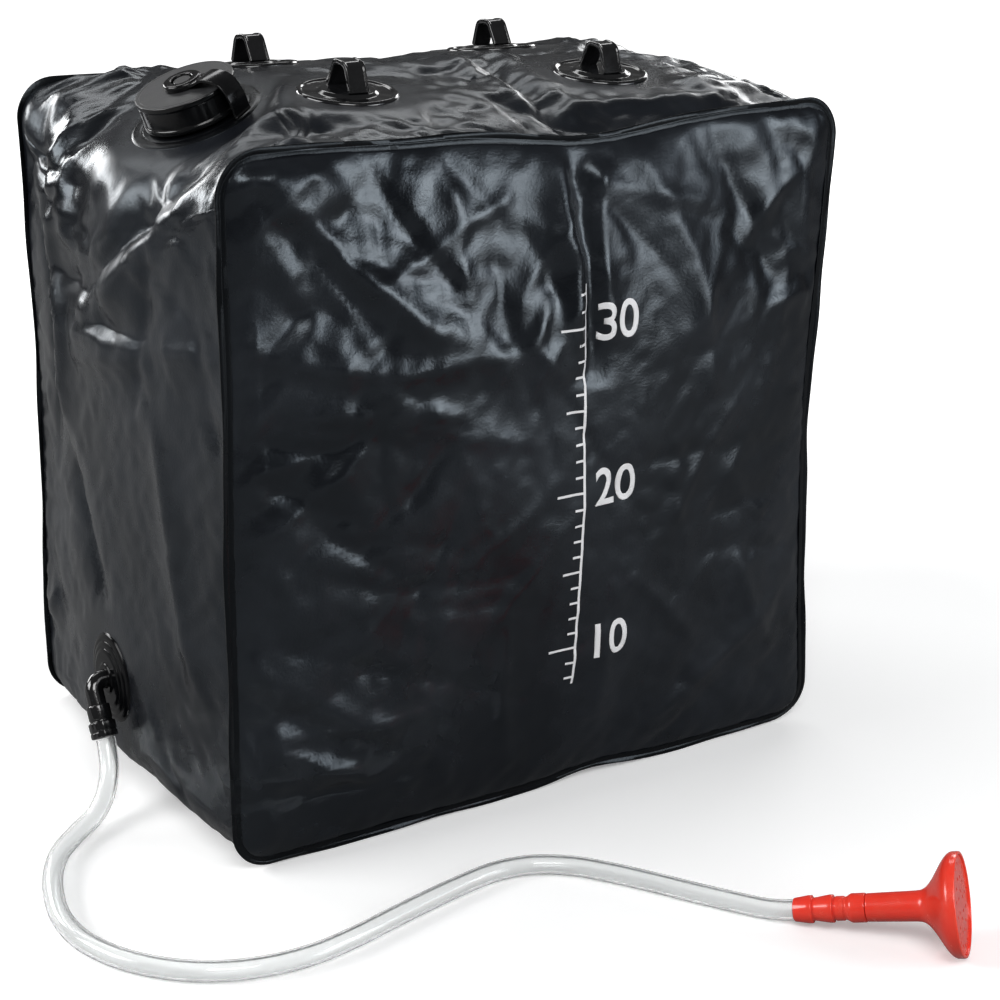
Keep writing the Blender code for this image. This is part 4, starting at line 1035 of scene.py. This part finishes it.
def tube(name, path, outer, inner, sides):
    """A closed tube along a line, from its outer radius and its bore's."""
    wall = [carried_round(path, outer, sides), carried_round(path, inner, sides)[::-1]]
    points = np.concatenate(wall)
    return closed_piece(name, points, joined_grid(points, True, True), sharp=50)


elbow_tail, elbow_reach, elbow_bend, elbow_leg = 0.0102, 0.0134, 0.0062, 0.033
elbow_radius, elbow_bore = 0.0054, 0.0032
leg_down = np.array([0, -0.5, -0.866025])
place, (along, across, up) = outlet
corner = place + up * elbow_reach
swing = np.linspace(0, np.pi / 2, 13)[:, None]
round_corner = up * np.sin(swing) - leg_down * np.cos(swing)
bend = corner + (leg_down - up) * elbow_bend + round_corner * elbow_bend
arm = np.linspace(place - up * elbow_tail, bend[0], 12, endpoint=False)
leg = np.linspace(bend[-1], corner + leg_down * elbow_leg, 16)[1:]
outlet_elbow = tube(
    "outlet_elbow_moulded", np.vstack([arm, bend, leg]), elbow_radius, elbow_bore, 32
)
dress(outlet_elbow, loop_gloss, "elbow", "fitting", "outlet_elbow")

leg_end = standing_on((-0.2219, -0.0165, 0.040421), leg_down)
collar_section = eased(
    (5.7, 0, 0.3), (7.3, 0, 0.4), (7.8, -0.6, 0.4), (7.8, -3, 0.2), (7.4, -3.4, 0.3), (7.4, -4, 0.3),
    (7.8, -4.4, 0.2), (7.8, -8.9, 0.4), (6.4, -9.5, 0.3), (6.4, -10.5, 0.3), (6.75, -11, 0.3),
    (6.75, -18.4, 0.3), (6.2, -19, 0.4), (5.7, -19, 0.2),
)
nut_end, nut_from, nut_depth = -0.0090, 0.0073, 0.00025


def collar_ribs(radius, height, turn):
    """Twelve flats on the collar's nut."""
    nut = (height > nut_end) & (radius > nut_from)
    return radius - np.where(nut, nut_depth * (0.5 + 0.5 * np.cos(12 * turn)), 0), height


hose_collar = turned_piece("hose_collar_moulded", collar_section, leg_end, steps=96, ripple=collar_ribs)
dress(hose_collar, loop_gloss, "elbow", "fitting", "hose_collar")
refinish(fitting_gloss, "outlet_nut")
refinish(seal_rubber, "outlet_seal", "elbow_o_ring")


# The hose: a clear vinyl tube, 11 mm across. It leaves the collar in line with it, drops to the
# ground and lies there in two easy bends, as far as the shower head.

hose_radius, hose_bore, hose_lies = 0.0055, 0.0040, 0.0058
hose_on_ground = (
    (-0.2725, -0.0705), (-0.2850, -0.0915), (-0.2935, -0.1150), (-0.2980, -0.1380), (-0.2970, -0.1620),
    (-0.2880, -0.1865), (-0.2725, -0.2075), (-0.2525, -0.2230), (-0.2290, -0.2320), (-0.2035, -0.2345),
    (-0.1780, -0.2310), (-0.1530, -0.2250), (-0.1275, -0.2190), (-0.1020, -0.2140), (-0.0790, -0.2115),
    (-0.0585, -0.2155), (-0.0405, -0.2275), (-0.0265, -0.2445), (-0.0135, -0.2640), (-0.0010, -0.2845),
    (0.0110, -0.3030),
)
hose_route = (
    (-0.2219, -0.0168, 0.0399), (-0.2220, -0.0188, 0.0363), (-0.2243, -0.0264, 0.0253),
    (-0.2311, -0.0358, 0.0151), (-0.2416, -0.0449, 0.0085), (-0.2550, -0.0535, 0.0060),
    *((x, y, hose_lies) for x, y in hose_on_ground),
    (0.0205, -0.3170, 0.0059), (0.0270, -0.3252, 0.0069), (0.0308, -0.3298, 0.0081),
)
hose_line = smooth_line(hose_route, 0.0022)
hose = tube("hose_clear_tube", hose_line, hose_radius, hose_bore, 40)
hose_clear = worn_finish(
    "hose_clear", moulded, 500.0, (0.965, 0.975, 0.975), None, (0.05, 0.20), (0.05, 0.0004), (0.38, 0.66),
    IOR=1.42, Transmission_Weight=0.90,
)
dress(hose, hose_clear, None, "hose", "hose")
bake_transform(hose)


# The shower head: a red stem with two barbs, which push into the hose, and a trumpet-shaped head
# that slides on the stem. The spray plate sits in the trumpet's mouth, which faces away in front.

head = standing_on((0.031, -0.33, 0.0082), (0.627266, -0.747547, 0.218429))
head_red = worn_finish(
    "head_red", moulded, 1000.0, (1.0, 0.050, 0.028), (1.0, 0.075, 0.045), (0.16, 0.30),
    (0.12, moulded_grain), Subsurface_Weight=0.12, Coat_Weight=0.3,
)
stem_section = eased(
    (6.1, 0, 0.3), (7.3, 7.8, 0.8), (7.3, 9.8, 0.5), (6, 9.8, 0.3), (6, 11.1, 0.4), (7.3, 18.9, 0.8),
    (7.3, 20.9, 0.5), (6, 20.9, 0.3), (6, 22.2, 0.3), (6.4, 22.2, 0.2), (6.4, 26.4, 0.2),
    (6, 26.4, 0.2), (6, 27.7, 0.3), (7.6, 30.3, 0.8), (7.6, 37.9, 0.6), (5, 37.9, 0.2), (5, 51.45, 0.1),
    (3.9, 51.45, 0.1), (3.9, 52.95, 0.1), (5, 52.95, 0.1), (5, 63.9, 0.5), (3, 63.9, 0.4), (3, 0, 0.4),
)
valve_stem = turned_piece("valve_stem_moulded", stem_section, head)
dress(valve_stem, head_red, "bag", "head", "valve_stem")

neck_radius, flare, flare_start, flare_depth = 0.0080, 0.0190, 0.0647, 0.0193
shell_wall, shell_bore, inner_to = 0.0025, 0.0054, 0.0255


def trumpet_profile():
    """The head's section: a neck, a flare of r = 8 + 19 (1 - cos(pi t^1.15)) / 2 mm, a rolled lip,
    a seat for the plate, and an inner line 2.5 mm inside the flare that ends in the stem's bore."""
    t = np.linspace(0, 1, 26)
    radius = neck_radius + flare * (0.5 - 0.5 * np.cos(np.pi * t**1.15))
    outer = np.column_stack([radius, flare_start + flare_depth * t])
    inner = outer[(radius > neck_radius) & (radius < inner_to)] - [shell_wall, 0]
    inner[:, 0] = np.maximum(inner[:, 0], shell_bore)
    back = eased((5.3, 39.5, 0), (5.3, 38.2, 0.3), (7.3, 38.2, 0.6), (7.9, 64, 0), closed=False)
    lip = eased(
        (27, 84.5, 0), (27, 87.5, 0.9), (25.4, 87.5, 0.4), (25.4, 84.4, 0.1), (23.8, 84.4, 0.4),
        (23.4, 82.4, 0),
        closed=False,
    )
    return np.vstack([back, outer, lip, inner[::-1], [(0.0053, 0.0640)]])


head_shell = turned_piece("head_shell_moulded", trumpet_profile(), head, steps=128)
dress(head_shell, head_red, "shower_head", "head", "head_shell")

plate_section = eased(
    (0, 86.5, 0), (23.6, 86.5, 0.4), (24, 86.2, 0.3), (24.4, 86.5, 0.3), (25.1, 86.5, 0.3),
    (25.1, 84.7, 0.3), (5.4, 84.7, 1), (2.7, 80, 0.8), (2.7, 61.8, 0.6), (1.4, 59.4, 0.4), (0, 59.4, 0),
    closed=False,
)
hole_rings, ring_apart, hole_radius, hole_sides = (1, 2, 3), 0.00703, 0.0010, 20
hole_ends = (0.0835, 0.0880)


def spray_holes():
    """Round cutters on the plate: rings of 6, 12 and 18, each ring as far out again as the last."""
    place, (along, across, up) = head
    turn = np.linspace(0, 2 * np.pi, hole_sides, endpoint=False)[:, None]
    circle = np.cos(turn) * along + np.sin(turn) * across
    points, faces = [], []
    for ring in hole_rings:
        for k in range(6 * ring):
            at = (k + 0.3) * np.pi / (3 * ring)
            middle = place + ring_apart * ring * (np.cos(at) * along + np.sin(at) * across)
            start = 2 * hole_sides * len(points)
            points.append(np.vstack([middle + hole_radius * circle + up * end for end in hole_ends]))
            low = start + np.arange(hole_sides)
            high = low + hole_sides
            faces += np.column_stack([low, np.roll(low, -1), np.roll(high, -1), high]).tolist()
            faces += [low[::-1].tolist(), high.tolist()]
    return closed_piece("spray_hole_cutters", np.vstack(points), faces, smooth=False)


def with_modifiers_applied(piece):
    """The piece's mesh as its modifiers leave it."""
    graph = bpy.context.evaluated_depsgraph_get()
    mesh = bpy.data.meshes.new_from_object(piece.evaluated_get(graph))
    piece.modifiers.clear()
    piece.data = mesh
    return piece


spray_plate = turned_piece("spray_plate_moulded", plate_section, head, closed=False, steps=96)
cutter = spray_holes()
holes = spray_plate.modifiers.new("holes", "BOOLEAN")
holes.operation, holes.solver, holes.object = "DIFFERENCE", "EXACT", cutter
with_modifiers_applied(spray_plate)
bpy.data.objects.remove(cutter, do_unlink=True)
spray_plate.data.set_sharp_from_angle(angle=math.radians(35))
dress(spray_plate, head_red, "shower_head", "head", "spray_plate")
refinish(seal_rubber, "stem_o_ring")


# The print: a scale of litres in pale ink on the front panel, with a tick every litre, longer ones
# every 5 and 10, and plain numbers every 10. It follows the film, folds and all.

litre_height = 0.0095
scale_across, scale_front = 0.012, -0.3
first_litre, last_litre = 8, 32
spine_half, tick_half = 0.0008, 0.0007
tick_lengths = (0.006, 0.012, 0.018)
number_size, number_aside = 0.030, 0.007
cut_apart = 0.002
cuts = ((0, scale_across - 0.020, 40), (2, 0.062, 136))
ink_lift, ink_thickness = 0.00025, 0.00010


def flat_number(text, size, place):
    """A number's outline as flat faces that look to the front, with its middle at (x, z)."""
    curve = bpy.data.curves.new("number", "FONT")
    curve.body, curve.size, curve.offset = text, size, size * 0.012
    curve.align_x, curve.align_y = "LEFT", "CENTER"
    curve.resolution_u = 8
    holder = in_scene("number", curve)
    graph = bpy.context.evaluated_depsgraph_get()
    mesh = bpy.data.meshes.new_from_object(holder.evaluated_get(graph))
    bpy.data.objects.remove(holder, do_unlink=True)
    upright = Matrix.Rotation(math.pi / 2, 4, "X")
    mesh.transform(Matrix.Translation((place[0], scale_front, place[1])) @ upright)
    return mesh


def flat_bar(low, high):
    """A bar from one (x, z) corner to the other, as one face that looks to the front."""
    mesh = bpy.data.meshes.new("bar")
    (x0, z0), (x1, z1) = low, high
    corners = [(x, scale_front, z) for x, z in ((x0, z0), (x1, z0), (x1, z1), (x0, z1))]
    mesh.from_pydata(corners, [], [(0, 1, 2, 3)])
    return mesh


def printed_scale():
    """The bars and numbers, cut by planes 2 mm apart so that they can bend, and laid on the film."""
    work = bmesh.new()
    spine = scale_across
    ends = (first_litre - 0.5) * litre_height, (last_litre + 0.5) * litre_height
    work.from_mesh(flat_bar((spine - spine_half, ends[0]), (spine + spine_half, ends[1])))
    for litres in range(first_litre, last_litre + 1):
        long = tick_lengths[(litres % 5 == 0) + (litres % 10 == 0)]
        height = litres * litre_height
        work.from_mesh(flat_bar((spine - long, height - tick_half), (spine, height + tick_half)))
        if litres % 10 == 0:
            work.from_mesh(flat_number(str(litres), number_size, (spine + number_aside, height)))
    for axis, start, count in cuts:
        for step in range(count):
            point, normal = [0.0, 0.0, 0.0], [0.0, 0.0, 0.0]
            point[axis], normal[axis] = start + cut_apart * step, 1.0
            everything = [*work.verts, *work.edges, *work.faces]
            bmesh.ops.bisect_plane(work, geom=everything, plane_co=point, plane_no=normal)
    mesh = bpy.data.meshes.new("litre_scale")
    work.to_mesh(mesh)
    work.free()
    piece = in_scene("litre_scale", mesh)
    lay = piece.modifiers.new("lay", "SHRINKWRAP")
    lay.target, lay.wrap_method, lay.offset = front_panel, "PROJECT", ink_lift
    lay.use_project_y = True
    lay.use_positive_direction, lay.use_negative_direction = True, False
    ink = piece.modifiers.new("ink", "SOLIDIFY")
    ink.thickness, ink.offset = ink_thickness, -1
    return with_modifiers_applied(piece)


ink_white = worn_finish(
    "ink_white", moulded, 900.0, (0.84, 0.84, 0.85), None, (0.34, 0.60), None, haze=(0.35, 0.7)
)
litre_scale = printed_scale()
litre_scale.data.materials.append(ink_white)
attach(litre_scale, "bag")


# The studio: a white floor and white air, which reflections see darker, soft lamps above and
# beside, and a camera where the photograph was taken from.

view_centre = Vector((-0.639, -1.071, 0.582))
view_azimuth, view_elevation, view_roll = (math.radians(a) for a in (-32.933, 18.915, 0.909))
sensor_width = 36
focal_pixels, picture_pixels = 2133.776, 1000


def camera_at(centre, azimuth, elevation, roll):
    """A camera that looks back along (sin a cos e, -cos a cos e, sin e), turned by its roll."""
    level_share = math.cos(elevation)
    back = (math.sin(azimuth) * level_share, -math.cos(azimuth) * level_share, math.sin(elevation))
    back = Vector(back)
    level = Vector((math.cos(azimuth), math.sin(azimuth), 0))
    upright = back.cross(level)
    right = level * math.cos(roll) + upright * math.sin(roll)
    up = upright * math.cos(roll) - level * math.sin(roll)
    camera = in_scene("camera", bpy.data.cameras.new("camera"))
    camera.matrix_world = Matrix.Translation(centre) @ Matrix((right, up, back)).transposed().to_4x4()
    return camera


camera = camera_at(view_centre, view_azimuth, view_elevation, view_roll)
camera.data.sensor_width = sensor_width
camera.data.lens = focal_pixels / picture_pixels * sensor_width
camera.data.shift_x, camera.data.shift_y = 0.0025, -0.0206
camera.data.clip_start = 0.05
bpy.context.scene.camera = camera


def lamp(name, place, aim, size, power, colour=(1, 1, 1)):
    """A soft lamp that the camera doesn't see, by its place, its aim, its two sides and its watts."""
    light = bpy.data.lights.new(name, "AREA")
    light.shape = "RECTANGLE"
    light.size, light.size_y = size
    light.energy, light.color = power, colour
    made = in_scene(name, light)
    made.visible_camera = False
    toward = Vector(aim) - Vector(place)
    made.matrix_world = Matrix.Translation(place) @ toward.to_track_quat("-Z", "Y").to_matrix().to_4x4()


lamp("lamp_left", (-1.9, 0.5, 1.2), (-0.2, 0, 0.25), (1.3, 0.9), 32)
lamp("lamp_above", (0.3, 1.3, 1.7), (0, 0, 0.3), (2.4, 0.35), 10)
lamp("lamp_behind", (-0.9, 2.2, 0.9), (-0.2, 0, 0.3), (1.5, 0.5), 26)
lamp("lamp_front", (-0.9, -1.9, 2.1), (0, 0, 0.2), (1.3, 1.0), 31)
lamp("lamp_far", (2.0, 1.3, 1.1), (0.15, 0, 0.25), (1.0, 0.6), 12)
lamp("lamp_head", (0.5, -0.9, 0.5), (0.04, -0.34, 0.02), (0.3, 0.3), 1.5)
lamp("lamp_low", (0.75, -1.35, 0.35), (0.03, -0.33, 0.05), (0.8, 0.5), 3.5)
lamp("lamp_right", (1.5, -2.1, 0.75), (0, -0.15, 0.25), (1.8, 1.0), 9, (0.84, 0.91, 1.0))


def seen_and_felt(tree, seen, felt):
    """A value that the camera sees, also through clear plastic, and the one that reflections and
    bounces take, as when dark cards stand outside the picture."""
    path = tree.nodes.new("ShaderNodeLightPath").outputs
    direct = calc(tree, "MAXIMUM", path["Is Camera Ray"], path["Is Transmission Ray"])
    return ramp_between(tree, direct, 0.0, 1.0, felt, seen)


floor_half = 6
floor_seen, floor_felt = 0.95, 0.28
air_seen, air_felt = 1.0, 0.11
glow_near, glow_far = (0.45, 0.22), (1.3, 1.0)

floor_white, tree, shader = new_finish("floor_white", (0.9, 0.9, 0.9), 0.8, Specular_IOR_Level=0.0)
tree.links.new(seen_and_felt(tree, floor_seen, floor_felt), shader.inputs["Base Color"])
middle_out = tree.nodes.new("ShaderNodeTexCoord").outputs["Object"]
away = add_node(tree, "ShaderNodeVectorMath", {"operation": "LENGTH"}, Vector=middle_out).outputs["Value"]
glow = ramp_between(tree, away, glow_near[0], glow_far[0], glow_near[1], glow_far[1])
glow_seen = calc(tree, "MULTIPLY", glow, seen_and_felt(tree, 1.0, 0.0))
shader.inputs["Emission Color"].default_value = (1, 1, 1, 1)
tree.links.new(glow_seen, shader.inputs["Emission Strength"])
side = np.linspace(-floor_half, floor_half, 3)
floor_points = np.stack([*np.meshgrid(side, side), np.zeros((3, 3))], axis=-1)
floor = new_piece("floor", floor_points, joined_grid(floor_points))
floor.data.materials.append(floor_white)

world = bpy.data.worlds.new("studio_air")
world.use_nodes = True
background = world.node_tree.nodes["Background"]
background.inputs["Color"].default_value = (1, 1, 1, 1)
air = seen_and_felt(world.node_tree, air_seen, air_felt)
world.node_tree.links.new(air, background.inputs["Strength"])
bpy.context.scene.world = world
bpy.context.scene.view_settings.view_transform = "Standard"
